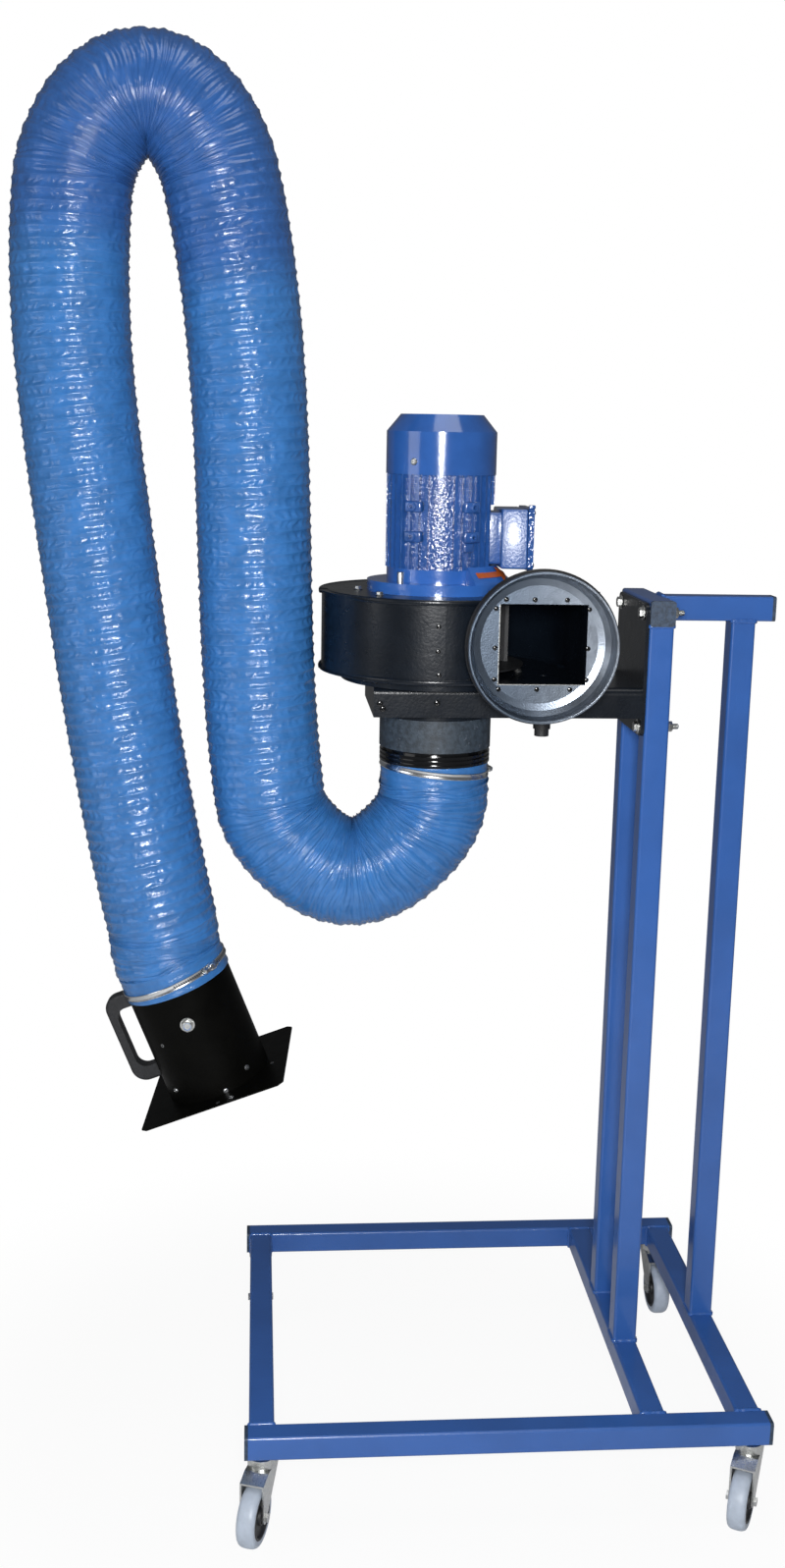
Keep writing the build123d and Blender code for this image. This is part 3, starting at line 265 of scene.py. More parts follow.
def finish(name, colour, roughness, metal=0.0, coat=0.0, patch=0.05, shift=0.12, grain=0.002,
           depth=0.00012, dirt=None, dirt_share=0.62, dirt_size=0.02, shine=0.5):
    """A finish with soft patches of tone, uneven gloss, a fine skin and, if asked, stains."""
    material = new_material(name)
    shader = shader_of(material)
    where = add_node(material, "TexCoord")
    tone = ramp(material, 0.3, 0.7, noise_at(material, where, patch))
    colour_node = mixed(material, tone, scaled(colour, 1 - shift), scaled(colour, 1 + shift))
    if dirt:
        stains = noise_at(material, where, dirt_size, detail=6.0, roughness=0.7)
        stain = ramp(material, dirt_share, dirt_share + 0.08, stains)
        colour_node = mixed(material, stain, colour_node, dirt)
    join(material, colour_node, 2, shader, "Base Color")
    uneven = noise_at(material, where, patch / 3, detail=4.0)
    uneven_gloss(material, uneven, roughness * 0.8, min(1, roughness * 1.25))
    skin = bumped(material, noise_at(material, where, grain, detail=2.0), depth)
    join(material, skin, "Normal", shader, "Normal")
    set_inputs(shader, {"Metallic": metal, "Specular IOR Level": shine, "Coat Weight": coat,
                        "Coat Roughness": 0.08})
    return material


def shade_across(material, low, high, dark):
    """Paints a reflection into a finish: darkens it towards the low end of the model's X, a painted
    reflection and painted shade such as a mirror-like sheet shows.
    """
    shader = shader_of(material)
    apart = add_node(material, "SeparateXYZ")
    join(material, add_node(material, "TexCoord"), "Object", apart, "Vector")
    step = ramp(material, low, high, apart, "X")
    colour_node = shader.inputs["Base Color"].links[0].from_node
    join(material, mixed(material, step, dark, colour_node), 2, shader, "Base Color")


def hose_finish(name, colour, bend_rib, bend_ribs):
    """Shiny coated fabric with weave and creases that follow the film's own map. Round the upper
    bend its colour is darkened with painted shade, standing in for the shade of the film's tight
    pleats: bend_ribs to either side of bend_rib."""
    material = new_material(name)
    shader = shader_of(material)
    where = add_node(material, "TexCoord")
    tone = ramp(material, 0.3, 0.7, noise_at(material, where, 1.6, output="UV"))
    colour_node = mixed(material, tone, scaled(colour, 0.88), scaled(colour, 1.1))
    apart = add_node(material, "SeparateXYZ")
    join(material, where, "UV", apart, "Vector")
    away = add_node(material, "Math", {1: bend_rib})
    away.operation = "SUBTRACT"
    join(material, apart, "Y", away, 0)
    distance = add_node(material, "Math")
    distance.operation = "ABSOLUTE"
    join(material, away, "Value", distance, 0)
    # Painted shade: the film's colour is darkened round the upper bend, for the shade of its tight
    # pleats.
    in_shaded_bend = ramp(material, bend_ribs, bend_ribs * 0.7, distance, "Value")
    painted_pleat_shade = mixed(material, in_shaded_bend, colour_node, (0.80, 0.68, 0.79), "MULTIPLY")
    join(material, painted_pleat_shade, 2, shader, "Base Color")
    stretched = add_node(material, "Mapping", {"Scale": (1.3, 7.0, 1.0)})
    join(material, where, "UV", stretched, "Vector")
    streaks = noise_at(material, stretched, 1.0, roughness=0.6, output="Vector")
    fine = bumped(material, streaks, 0.0006, 0.9)
    creases = noise_at(material, where, 0.42, detail=4.0, roughness=0.6, output="UV")
    folds = bumped(material, creases, 0.0016, 0.7, fine)
    weave = add_node(material, "TexMagic", {"Scale": 60})
    weave.turbulence_depth = 1
    join(material, where, "UV", weave, "Vector")
    threads = bumped(material, weave, 0.0001, 0.25, folds)
    join(material, threads, "Normal", shader, "Normal")
    uneven_gloss(material, creases, 0.14, 0.27)
    set_inputs(shader, {"Coat Weight": 0.35, "Coat Roughness": 0.13})
    return material


finishes = {}


def make_finishes(colours):
    """Every finish of the machine, made once."""
    motor = colours.motor_paint
    recipes = {
        "frame": ("frame_paint", colours.frame_paint, 0.3, dict(
            coat=0.35, patch=0.12, shift=0.07, grain=0.0035, dirt=linear(40, 66, 112),
            dirt_share=0.7, dirt_size=0.03)),
        # The motor paint is used in copies of different brightness: the body's copy is darker than
        # the cowl's, painted shade, and the flange's copy is lighter, a painted highlight.
        "motor": ("motor_paint", scaled(motor, 0.92), 0.14, dict(
            coat=1.0, patch=0.03, shift=0.1, grain=0.0055, depth=0.0017, shine=0.8)),
        "cowl": ("cowl_paint", motor, 0.15, dict(
            coat=0.5, patch=0.04, shift=0.08, grain=0.006, depth=0.0001)),
        "box": ("box_paint", motor, 0.34, dict(
            coat=1.0, patch=0.03, shift=0.1, grain=0.0035, depth=0.00045, shine=1.0)),
        "flange": ("flange_paint", scaled(motor, 1.25), 0.2, dict(
            coat=0.6, patch=0.04, shift=0.08, grain=0.006, depth=0.00025)),
        "casing": ("casing_paint", colours.casing_paint, 0.28, dict(
            coat=0.1, patch=0.06, shift=0.2, grain=0.004, depth=0.0002, dirt=linear(34, 42, 52),
            dirt_share=0.72, shine=0.32)),
        "collar": ("collar_paint", colours.collar_paint, 0.55, dict(
            patch=0.008, shift=0.35, depth=0.0004, dirt=linear(92, 100, 112), dirt_share=0.6,
            dirt_size=0.012)),
        "hood": ("hood_paint", colours.hood_paint, 0.4, dict(
            patch=0.04, shift=0.2, grain=0.003, depth=0.00015, shine=0.05)),
        "gloss": ("gloss_black", linear(14, 15, 17), 0.16, dict(
            coat=0.4, patch=0.02, shift=0.2, grain=0.004, depth=0.0001)),
        "plug": ("plug_plastic", linear(46, 62, 82), 0.45, dict(
            patch=0.006, shift=0.4, grain=0.0012, depth=0.0003)),
        "plastic": ("black_plastic", colours.plastic, 0.5, dict(
            patch=0.01, shift=0.2, grain=0.0012, depth=0.0003)),
        "zinc": ("zinc_plate", colours.zinc, 0.28, dict(
            metal=1.0, patch=0.006, shift=0.08, depth=0.0001)),
        "steel": ("bare_steel", linear(150, 152, 154), 0.4, dict(
            metal=1.0, patch=0.01, shift=0.1)),
        "band": ("clamp_band", linear(226, 228, 230), 0.2, dict(
            metal=1.0, patch=0.004, shift=0.06, grain=0.001, depth=0.00005)),
        "outlet": ("outlet_metal", colours.outlet_metal, 0.34, dict(
            metal=0.85, patch=0.02, shift=0.16, depth=0.00018, dirt=linear(96, 104, 114),
            dirt_share=0.66, dirt_size=0.015)),
        "tyre": ("tyre_rubber", colours.tyre, 0.42, dict(
            patch=0.012, shift=0.06, grain=0.0015, depth=0.0001, dirt=linear(140, 140, 138),
            dirt_share=0.68, dirt_size=0.01)),
        "rubber": ("black_rubber", linear(20, 20, 21), 0.45, dict(
            patch=0.01, shift=0.2, grain=0.0015)),
        "slide": ("slide_plastic", linear(224, 224, 218), 0.4, dict(patch=0.01, shift=0.05)),
        "insert": ("lock_insert", linear(70, 130, 200), 0.35, dict(patch=0.002, shift=0.1)),
        "sticker": ("arrow_sticker", linear(178, 84, 22), 0.4, dict(
            patch=0.01, shift=0.1, grain=0.003)),
    }
    for key, (name, colour, roughness, rest) in recipes.items():
        finishes[key] = finish(name, colour, roughness, **rest)
    # Painted reflection: the outlet's dish is darker to the left and lighter to the right.
    shade_across(finishes["outlet"], 0.115, 0.27, linear(90, 101, 115))
    # The hose's film gets painted shade round its upper bend.
    finishes["hose"] = hose_finish("hose_film", colours.hose_film, bend_rib=88, bend_ribs=20)


def dress(names, finish_name):
    """Gives CAD nodes a finish."""
    for name in names:
        materials = nodes[name].data.materials
        for index in range(len(materials)):
            materials[index] = finishes[finish_name]
        if not materials:
            materials.append(finishes[finish_name])


# Shapes
def fresh(shape, before):
    return [v for v in shape.verts if v not in before]


def placed(shape, before, place):
    """Moves what is new in a shape from the origin to its place."""
    verts = fresh(shape, before)
    bmesh.ops.transform(shape, matrix=place, verts=verts)
    return verts


def rounded(shape, edges, offset, segments=2):
    bmesh.ops.bevel(
        shape, geom=edges, offset=offset, offset_type="OFFSET", segments=segments, profile=0.5,
        affect="EDGES", material=-1)


def upright_bar(shape, sides, radius, height):
    """A prism from the origin upwards."""
    bmesh.ops.create_cone(
        shape, cap_ends=True, cap_tris=False, segments=sides, radius1=radius, radius2=radius,
        depth=height, matrix=shifted(0, 0, height / 2))


def turned(shape, outline, place, steps=64, closed=True):
    """A shape of revolution; the outline is radius and height about the place's own Z."""
    before = set(shape.verts)
    corners = [shape.verts.new((radius, 0, height)) for radius, height in outline]
    pairs = list(zip(corners, corners[1:]))
    if closed:
        pairs.append((corners[-1], corners[0]))
    edges = [shape.edges.new(pair) for pair in pairs]
    bmesh.ops.spin(
        shape, geom=corners + edges, cent=(0, 0, 0), axis=(0, 0, 1), angle=2 * math.pi,
        steps=steps, use_merge=True)
    bmesh.ops.remove_doubles(shape, verts=fresh(shape, before), dist=1e-6)
    return placed(shape, before, place)


def rod(shape, place, radius, length, sides=32, round_edge=0.0):
    """A bar from the place's origin along its Z."""
    before = set(shape.verts)
    upright_bar(shape, sides, radius, length)
    if round_edge:
        verts = set(fresh(shape, before))
        rims = [e for e in shape.edges if e.verts[0] in verts and
                abs(e.verts[0].co.z - e.verts[1].co.z) < 1e-7]
        rounded(shape, rims, round_edge)
    return placed(shape, before, place)


def slab(shape, place, width, depth, height, round_edge=0.0, segments=2):
    """A block centred on the place."""
    before = set(shape.verts)
    bmesh.ops.create_cube(shape, size=1, matrix=Matrix.Diagonal((width, depth, height, 1)))
    if round_edge:
        verts = set(fresh(shape, before))
        rounded(shape, [e for e in shape.edges if e.verts[0] in verts], round_edge, segments)
    return placed(shape, before, place)


def swept(shape, stations, sides=8, closed=False):
    """A tube through stations, each one a place whose Z runs along the tube and a pair of radii."""
    before = set(shape.verts)
    loops = []
    for place, across, upright in stations:
        flat = place @ Matrix.Diagonal((across, upright, 1, 1))
        ring = bmesh.ops.create_circle(
            shape, cap_ends=False, segments=sides, radius=1, matrix=flat)
        loops.append(list({e for v in ring["verts"] for e in v.link_edges}))
    pairs = list(zip(loops, loops[1:]))
    if closed:
        pairs.append((loops[-1], loops[0]))
    for first, second in pairs:
        bmesh.ops.bridge_loops(shape, edges=first + second)
    if not closed:
        for loop in (loops[0], loops[-1]):
            bmesh.ops.edgeloop_fill(shape, edges=loop)
    return fresh(shape, before)


def screw_head(shape, point, towards, radius, height):
    """A round head with a cross cut into it as a shallow cup."""
    cup = radius * 0.35
    sunk = -0.0006
    outline = [(0.0, sunk), (radius, sunk), (radius, height * 0.35), (radius * 0.85, height * 0.8),
               (radius * 0.55, height), (cup, height), (cup * 0.6, height * 0.45),
               (0.0, height * 0.4)]
    return turned(shape, outline, aimed(point, towards), steps=20, closed=False)


def washer(shape, point, towards, radius, bore, thickness):
    face = radius - 0.0003
    outline = [(bore, 0), (face, 0), (radius, thickness / 2), (face, thickness), (bore, thickness)]
    return turned(shape, outline, aimed(point, towards), steps=32)


def hexagon(shape, point, towards, corner_radius, height, edge=0.0007):
    """A hexagon head with its corners taken off all round."""
    before = set(shape.verts)
    upright_bar(shape, 6, corner_radius, height)
    verts = set(fresh(shape, before))
    rims = [e for e in shape.edges if e.verts[0] in verts and
            e.verts[0].co.z > height * 0.9 and e.verts[1].co.z > height * 0.9]
    rounded(shape, rims, edge)
    return placed(shape, before, aimed(point, towards))


def thread(shape, point, towards, radius, length, pitch=0.00125):
    """A threaded end: ridges round a rod, and a chamfer at its tip."""
    root = radius - 0.0007
    chamfer = 0.0008
    outline = [(0.0, 0.0)]
    turns = int(length / pitch)
    for i in range(turns):
        outline += [(root, i * pitch), (radius, (i + 0.5) * pitch)]
    tip = turns * pitch
    outline += [(root, tip), (root - chamfer, tip + chamfer), (0.0, tip + chamfer)]
    return turned(shape, outline, aimed(point, towards), steps=24, closed=False)


def piece(name, shape, finish_name, body=None, stands_for=(), sharp=32):
    """Turns a shape into a finished object that rides on a body."""
    bmesh.ops.recalc_face_normals(shape, faces=shape.faces)
    mesh = bpy.data.meshes.new(name)
    shape.to_mesh(mesh)
    shape.free()
    mesh.shade_smooth()
    mesh.set_sharp_from_angle(angle=math.radians(sharp))
    made = bpy.data.objects.new(name, mesh)
    bpy.context.scene.collection.objects.link(made)
    mesh.materials.append(finishes[finish_name])
    if body:
        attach(made, body)
    if stands_for:
        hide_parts(*stands_for)
    return made


# Frame
frame_tubes = (
    "front_rail", "back_rail", "left_side_rail", "inner_cross_rail", "outer_side_rail",
    "front_post", "rear_post", "handle_post", "top_beam", "handle_beam",
)


def square_loop(centre, first, second, half, step=0.0024):
    """Points round a square tube where it meets a flat face."""
    signs = ((1, 1), (-1, 1), (-1, -1), (1, -1))
    corners = [centre + first * a * half + second * b * half for a, b in signs]
    points = []
    for start, end in zip(corners, corners[1:] + corners[:1]):
        count = max(2, round((end - start).length / step))
        points += [start.lerp(end, i / count) for i in range(count)]
    return points


def weld_square(shape, centre, first, second, half, width, seed):
    points = square_loop(centre, first, second, half)
    count = len(points)
    stations = []
    for i, point in enumerate(points):
        ahead = points[(i + 1) % count] - points[i - 1]
        scale_mark = 0.14 if i % 2 else -0.14
        ripple = 1 + scale_mark + 0.2 * noise.noise(point * 250 + Vector((seed, 0, 0)))
        stations.append((aimed(point, ahead), width / 2 * ripple, width / 2 * ripple))
    swept(shape, stations, sides=6, closed=True)


class ARM_OT_frame(bpy.types.Operator):
    """Paints the welded tubes and adds the weld beads where they meet"""
    bl_idname = "extraction_arm.frame"
    bl_label = "Frame"

    def execute(self, context):
        dress(frame_tubes, "frame")
        dress(("end_plugs",), "plug")
        width = context.scene.arm_sizes.weld_width
        x, y, z = Vector((1, 0, 0)), Vector((0, 1, 0)), Vector((0, 0, 1))
        shape = bmesh.new()
        inset = width * 0.15
        seed = 0
        for name, along, other in (
            ("left_side_rail", 1, z), ("inner_cross_rail", 1, z), ("outer_side_rail", 1, z),
            ("front_post", 2, y), ("rear_post", 2, y), ("handle_post", 2, y),
        ):
            low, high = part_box(name)
            half = (high.x - low.x) / 2 - inset
            for end in (low[along], high[along]):
                seed += 1
                centre = (low + high) / 2
                centre[along] = end
                weld_square(shape, centre, x, other, half, width, seed)
        low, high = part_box("handle_beam")
        centre = (low + high) / 2
        half = (high.z - low.z) / 2 - inset
        weld_square(shape, Vector((low.x, centre.y, centre.z)), y, z, half, width, seed + 1)
        piece("frame_welds", shape, "frame", "trolley", sharp=60)
        return {"FINISHED"}


class ARM_OT_bolts(bpy.types.Operator):
    """Makes the bolts, washers and nuts that hold the fan's plate on the posts"""
    bl_idname = "extraction_arm.bolts"
    bl_label = "Frame bolts"

    def execute(self, context):
        low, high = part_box("frame_bolts")
        plate_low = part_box("mounting_plate")[0]
        tube_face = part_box("front_post")[1].x
        head_radius, bolt_radius, washer_radius, sheet = 0.0075, 0.004, 0.0105, 0.0016
        shape = bmesh.new()
        for y in (middle("front_post").y, middle("rear_post").y):
            for z in (low.z + head_radius, high.z - head_radius):
                for x, towards, height in ((plate_low.x, -1, 0.0053), (tube_face, 1, 0.0065)):
                    face = Vector((x, y, z))
                    out = Vector((towards, 0, 0))
                    washer(shape, face, out, washer_radius, bolt_radius, sheet)
                    hexagon(shape, face + out * sheet, out, head_radius, height)
                thread(shape, face, out, bolt_radius, high.x - tube_face)
        piece("plate_bolts", shape, "zinc", "trolley", ["frame_bolts"])
        shape = bmesh.new()
        for y, z in ((0.104, 1.127), (0.038, 1.131), (-0.033, 1.128)):
            screw_head(shape, (plate_low.x, y, z), (-1, 0, 0), 0.0045, 0.0022)
        piece("plate_screws", shape, "zinc", "trolley")
        return {"FINISHED"}


# Fan casing
def casing_line(growth):
    """The casing's four arcs, clockwise from the tongue, and the straight run to the outlet."""
    base = 0.1555
    step = 0.0108
    half = step / 2
    fan = middle("motor_cowl")
    arcs = (
        (-half, -half, base - step, -62, -180),
        (-half, half, base, -180, -270),
        (half, half, base + step, -270, -360),
        (half, -half, base + 2 * step, -360, -360),
    )
    points = []
    for x, y, radius, start, stop in arcs:
        count = max(1, round(abs(stop - start) / 4))
        centre = fan + Vector((x, y, 0))
        for i in range(count + 1):
            azimuth = start + (stop - start) * i / count
            points.append(around(centre, radius + growth, azimuth, 0))
    outlet_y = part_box("scroll_top")[0].y
    last = points[-1]
    for i in range(1, 9):
        points.append(Vector((last.x, last.y + (outlet_y - last.y) * i / 8, 0)))
    kept = points[:1]
    for point in points[1:]:
        if (point - kept[-1]).length > 0.0005:
            kept.append(point)
    return kept


class ARM_OT_casing(bpy.types.Operator):
    """Paints the fan casing and adds the folded rims of its plates, its rivets and its screws"""
    bl_idname = "extraction_arm.casing"
    bl_label = "Fan casing"

    def execute(self, context):
        dress(("scroll_wrap", "scroll_top", "scroll_bottom", "inlet_ring", "fan_bracket",
               "mounting_plate"), "casing")
        dress(("drain_spout",), "plastic")
        height = context.scene.arm_sizes.rim_height
        shape = bmesh.new()
        for name, sign in (("scroll_top", -1), ("scroll_bottom", 1)):
            low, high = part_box(name)
            edge = high.z if sign < 0 else low.z
            line = casing_line(0.0046)
            stations = []
            for i, point in enumerate(line):
                ahead = line[min(i + 1, len(line) - 1)] - line[max(i - 1, 0)]
                side = ahead.normalized().cross(Vector((0, 0, 1)))
                turn = Matrix((side, Vector((0, 0, 1)), ahead.normalized())).transposed().to_4x4()
                at = Vector((point.x, point.y, edge + sign * (height / 2 - 0.0012)))
                stations.append((Matrix.Translation(at) @ turn, 0.0019, height / 2))
            swept(shape, stations, sides=12)
        piece("casing_rims", shape, "casing", "trolley", sharp=50)
        shape = bmesh.new()
        fan = middle("motor_cowl")
        first_arc = fan - Vector((0.0054, 0.0054, 0))
        for azimuth, z in ((-93.5, 1.2294), (-93.6, 1.1962), (-92.8, 1.1647), (-76.6, 1.1563)):
            at = around(first_arc, 0.1467, azimuth, z)
            screw_head(shape, at, outward(azimuth), 0.0032, 0.0016)
        for azimuth in (-142.5, -133.3):
            screw_head(shape, around(fan, 0.1352, azimuth, 1.1485), outward(azimuth), 0.0036, 0.002)
        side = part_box("fan_bracket")[0]
        for x, z in ((0.041, 1.118), (-0.037, 1.117), (-0.033, 1.110), (0.205, 1.118)):
            screw_head(shape, (x, side.y, z), (0, -1, 0), 0.0042, 0.0024)
        piece("casing_rivets", shape, "gloss", "trolley")
        shape = bmesh.new()
        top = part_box("scroll_top")[1].z
        floor_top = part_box("scroll_bottom")[1].z
        for x, y, z, washer_radius in (
            (-0.0636, 0.0239, top, 0.0062), (-0.0391, -0.0555, top, 0.0062),
            (0.150, 0.120, top, 0.0062), (-0.040, 0.130, top, 0.0062),
            (0.1593, -0.012, floor_top, 0.006),
        ):
            washer(shape, (x, y, z), (0, 0, 1), washer_radius, 0.002, 0.0012)
            hexagon(shape, (x, y, z + 0.0012), (0, 0, 1), 0.0048, 0.0038)
        piece("casing_bolts", shape, "zinc", "trolley")
        return {"FINISHED"}


class ARM_OT_outlet(bpy.types.Operator):
    """Finishes the round outlet: dish, bead, lip seal and the screws round the opening"""
    bl_idname = "extraction_arm.outlet"
    bl_label = "Outlet"

    def execute(self, context):
        dress(("outlet_spigot",), "outlet")
        low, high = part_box("outlet_spigot")
        centre = (low + high) / 2
        radius = (high.x - low.x) / 2
        out = (0, -1, 0)
        front = aimed((centre.x, low.y, centre.z), out)
        shape = bmesh.new()
        bead = 0.0022
        count = 10
        turns = [2 * math.pi * i / count for i in range(count)]
        outline = [
            (radius - 0.0008 + bead * math.cos(a), -bead + bead * math.sin(a)) for a in turns
        ]
        turned(shape, outline, front, steps=96)
        piece("outlet_bead", shape, "outlet", "trolley", sharp=60)
        shape = bmesh.new()
        opening_low = Vector((0.109, 0, 1.154))
        opening_high = Vector((0.227, 0, 1.261))
        margin = 0.006
        face_y = high.y - 0.0015
        screws = [
            (x, z) for z in (1.255, 1.203, 1.161) for x in (opening_low.x, opening_high.x + margin)
        ]
        screws += [(x, opening_high.z + margin) for x in (0.122, 0.160, 0.203)]
        screws += [(x, opening_low.z - margin) for x in (0.115, 0.1665, 0.211)]
        for x, z in screws:
            screw_head(shape, (x, face_y, z), out, 0.0034, 0.0022)
        piece("outlet_screws", shape, "gloss", "trolley")
        shape = bmesh.new()
        sheet = 0.0011
        left, bottom = 0.1136, opening_low.z + 0.0006
        middle_z = (opening_low.z + opening_high.z) / 2
        slab(shape, shifted(left, face_y - 0.001, middle_z), sheet, 0.004,
             opening_high.z - opening_low.z)
        slab(shape, shifted((left + opening_high.x) / 2, face_y - 0.001, bottom),
             opening_high.x - left, 0.004, sheet)
        piece("outlet_sheet_edge", shape, "zinc", "trolley")
        seal_low, seal_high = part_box("outlet_seal")
        width = seal_high.y - seal_low.y
        outline = [
            (radius, 0), (radius + 0.0018, 0), (radius + 0.0034, 0.0012), (radius + 0.0019, 0.003),
            (radius + 0.0015, width * 0.45), (radius + 0.0036, width * 0.52),
            (radius + 0.0019, width * 0.66), (radius + 0.0015, width - 0.001), (radius, width),
        ]
        shape = bmesh.new()
        place = aimed((centre.x, seal_high.y, centre.z), out)
        turned(shape, outline, place, steps=96)
        piece("lip_seal", shape, "rubber", "trolley", ["outlet_seal"])
        return {"FINISHED"}


# Motor
skirt_in, skirt_out = (0.0785, 1.3005), (0.0985, 1.2815)


def on_skirt(fan, azimuth, share, lift=0.0):
    """A point on the flange's sloping skirt; the share runs outwards and down."""
    radius = skirt_in[0] + (skirt_out[0] - skirt_in[0]) * share + lift
    height = skirt_in[1] + (skirt_out[1] - skirt_in[1]) * share + lift
    return around(fan, radius, azimuth, height)


def skirt_sector(shape, fan, first, last):
    """The sloping web that carries the connection box on the flange, over a part of its turn."""
    outline = [(0.0745, 1.2975), skirt_in, (0.0885, 1.2902), skirt_out, (0.0998, 1.2795),
               (0.0998, 1.2772), (0.0745, 1.2772)]
    steps = 40
    rings = []
    for i in range(steps + 1):
        azimuth = first + (last - first) * i / steps
        points = [around(fan, radius, azimuth, height) for radius, height in outline]
        rings.append([shape.verts.new(point) for point in points])
    count = len(outline)
    for ring, after in zip(rings, rings[1:]):
        for i in range(count):
            j = (i + 1) % count
            shape.faces.new((ring[i], ring[j], after[j], after[i]))
    shape.faces.new(rings[0])
    shape.faces.new(reversed(rings[-1]))
    bmesh.ops.recalc_face_normals(shape, faces=shape.faces)


def sticker_arrow(shape, fan):
    """A plain arrow that lies on the flange's skirt."""
    start, neck, tip = -61, -29, -4
    middle_share, thin, wide = 0.56, 0.17, 0.46
    corners = [(start, -thin), (neck, -thin), (neck + 2.5, -wide), (tip, 0), (neck - 2.5, wide),
               (neck, thin), (start, thin)]
    shape.faces.new([shape.verts.new((azimuth, share, 0)) for azimuth, share in corners])
    cuts = 24
    for i in range(1, cuts):
        at = start + (tip - start) * i / cuts
        bmesh.ops.bisect_plane(
            shape, geom=shape.verts[:] + shape.edges[:] + shape.faces[:], plane_co=(at, 0, 0),
            plane_no=(1, 0, 0))
    for vert in shape.verts:
        vert.co = on_skirt(fan, vert.co.x, middle_share + vert.co.y, 0.0005)


def terminal_housing(shape):
    """The connection box: a rough neck on the motor and a box whose face has a casting's draft."""
    low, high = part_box("terminal_box")
    y, z = (low.y + high.y) / 2, (low.z + high.z) / 2
    neck_high = low.x + 0.017
    slab(shape, shifted((low.x - 0.004 + neck_high) / 2, y + 0.003, z), neck_high - low.x + 0.008,
         high.y - low.y - 0.022, high.z - low.z - 0.010, round_edge=0.004, segments=3)
    left = low.x + 0.0145
    centre = Vector(((left + high.x) / 2, y, z))
    half_depth = (high.y - low.y) / 2
    verts = slab(shape, Matrix.Translation(centre), high.x - left, 2 * half_depth, high.z - low.z,
                 round_edge=0.0028, segments=3)
    for vert in verts:
        away = vert.co - centre
        if away.y < 0:
            share = -away.y / half_depth
            vert.co.y += share * (0.15 * ((high.x - left) / 2 - away.x) + 0.075 * (away.z - 0.02))


class ARM_OT_motor(bpy.types.Operator):
    """Finishes the motor: paint, pads, cowl screws, flange bolts and the turning arrow"""
    bl_idname = "extraction_arm.motor"
    bl_label = "Motor"

    def execute(self, context):
        dress(("motor_body", "terminal_lid"), "motor")
        dress(("motor_cowl",), "cowl")
        dress(("motor_flange",), "flange")
        dress(("motor_bearings", "rotor_shaft"), "steel")
        dress(("cable_gland", "cooling_fan", "impeller"), "plastic")
        fan = middle("motor_cowl")
        shape = bmesh.new()
        pad_radius = 0.0755
        for azimuth in (-124.5, -61.5, 118.5, 55.5):
            for height in (1.3807, 1.3405):
                point = around(fan, pad_radius - 0.002, azimuth, height)
                place = aimed(point, outward(azimuth))
                slab(shape, place, 0.026, 0.015, 0.012, round_edge=0.003, segments=3)
                boss = around(fan, pad_radius + 0.002, azimuth, height)
                turned(shape, [(0.0, 0.0), (0.0062, 0.0), (0.0058, 0.005), (0.0048, 0.0058),
                               (0.0028, 0.0058), (0.0026, 0.002), (0.0, 0.002)],
                       aimed(boss, outward(azimuth)), steps=24, closed=False)
        azimuth = -64.5
        low_pad = aimed(around(fan, pad_radius - 0.003, azimuth, 1.3265), outward(azimuth))
        slab(shape, low_pad, 0.017, 0.013, 0.011, round_edge=0.003, segments=3)
        piece("motor_pads", shape, "motor", "trolley", sharp=50)
        shape = bmesh.new()
        terminal_housing(shape)
        piece("terminal_housing", shape, "box", "trolley", ["terminal_box"],
              sharp=50)
        shape = bmesh.new()
        lid_low, lid_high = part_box("terminal_lid")
        lug = shifted(lid_high.x - 0.0035, lid_low.y + 0.004, lid_high.z + 0.0015)
        slab(shape, lug, 0.009, 0.008, 0.005, round_edge=0.0012)
        piece("lid_lug", shape, "motor", "trolley")
        shape = bmesh.new()
        for z in (lid_high.z - 0.007, lid_low.z + 0.007):
            for y in (lid_low.y + 0.008, lid_high.y - 0.008):
                screw_head(shape, (lid_high.x, y, z), (1, 0, 0), 0.0035, 0.0022)
        piece("lid_screws", shape, "zinc", "trolley")
        shape = bmesh.new()
        skirt_sector(shape, fan, -66, 45)
        piece("flange_skirt", shape, "flange", "trolley", sharp=50)
        shape = bmesh.new()
        for azimuth in (-125, 55, 145):
            screw_head(shape, around(fan, 0.0757, azimuth, 1.440), outward(azimuth), 0.005, 0.0026)
        piece("cowl_screws", shape, "zinc", "trolley")
        shape = bmesh.new()
        bolt_circle = 0.0825
        flange_top = 1.278
        for azimuth in (45, 135, 225, 315):
            foot = around(fan, bolt_circle, azimuth, flange_top - 0.014)
            rod(shape, aimed(foot, (0, 0, 1)), 0.0045, 0.0285, round_edge=0.0009)
        piece("flange_screws", shape, "zinc", "trolley", ["flange_bolts"])
        shape = bmesh.new()
        sticker_arrow(shape, fan)
        piece("turning_arrow", shape, "sticker", "trolley")
        return {"FINISHED"}


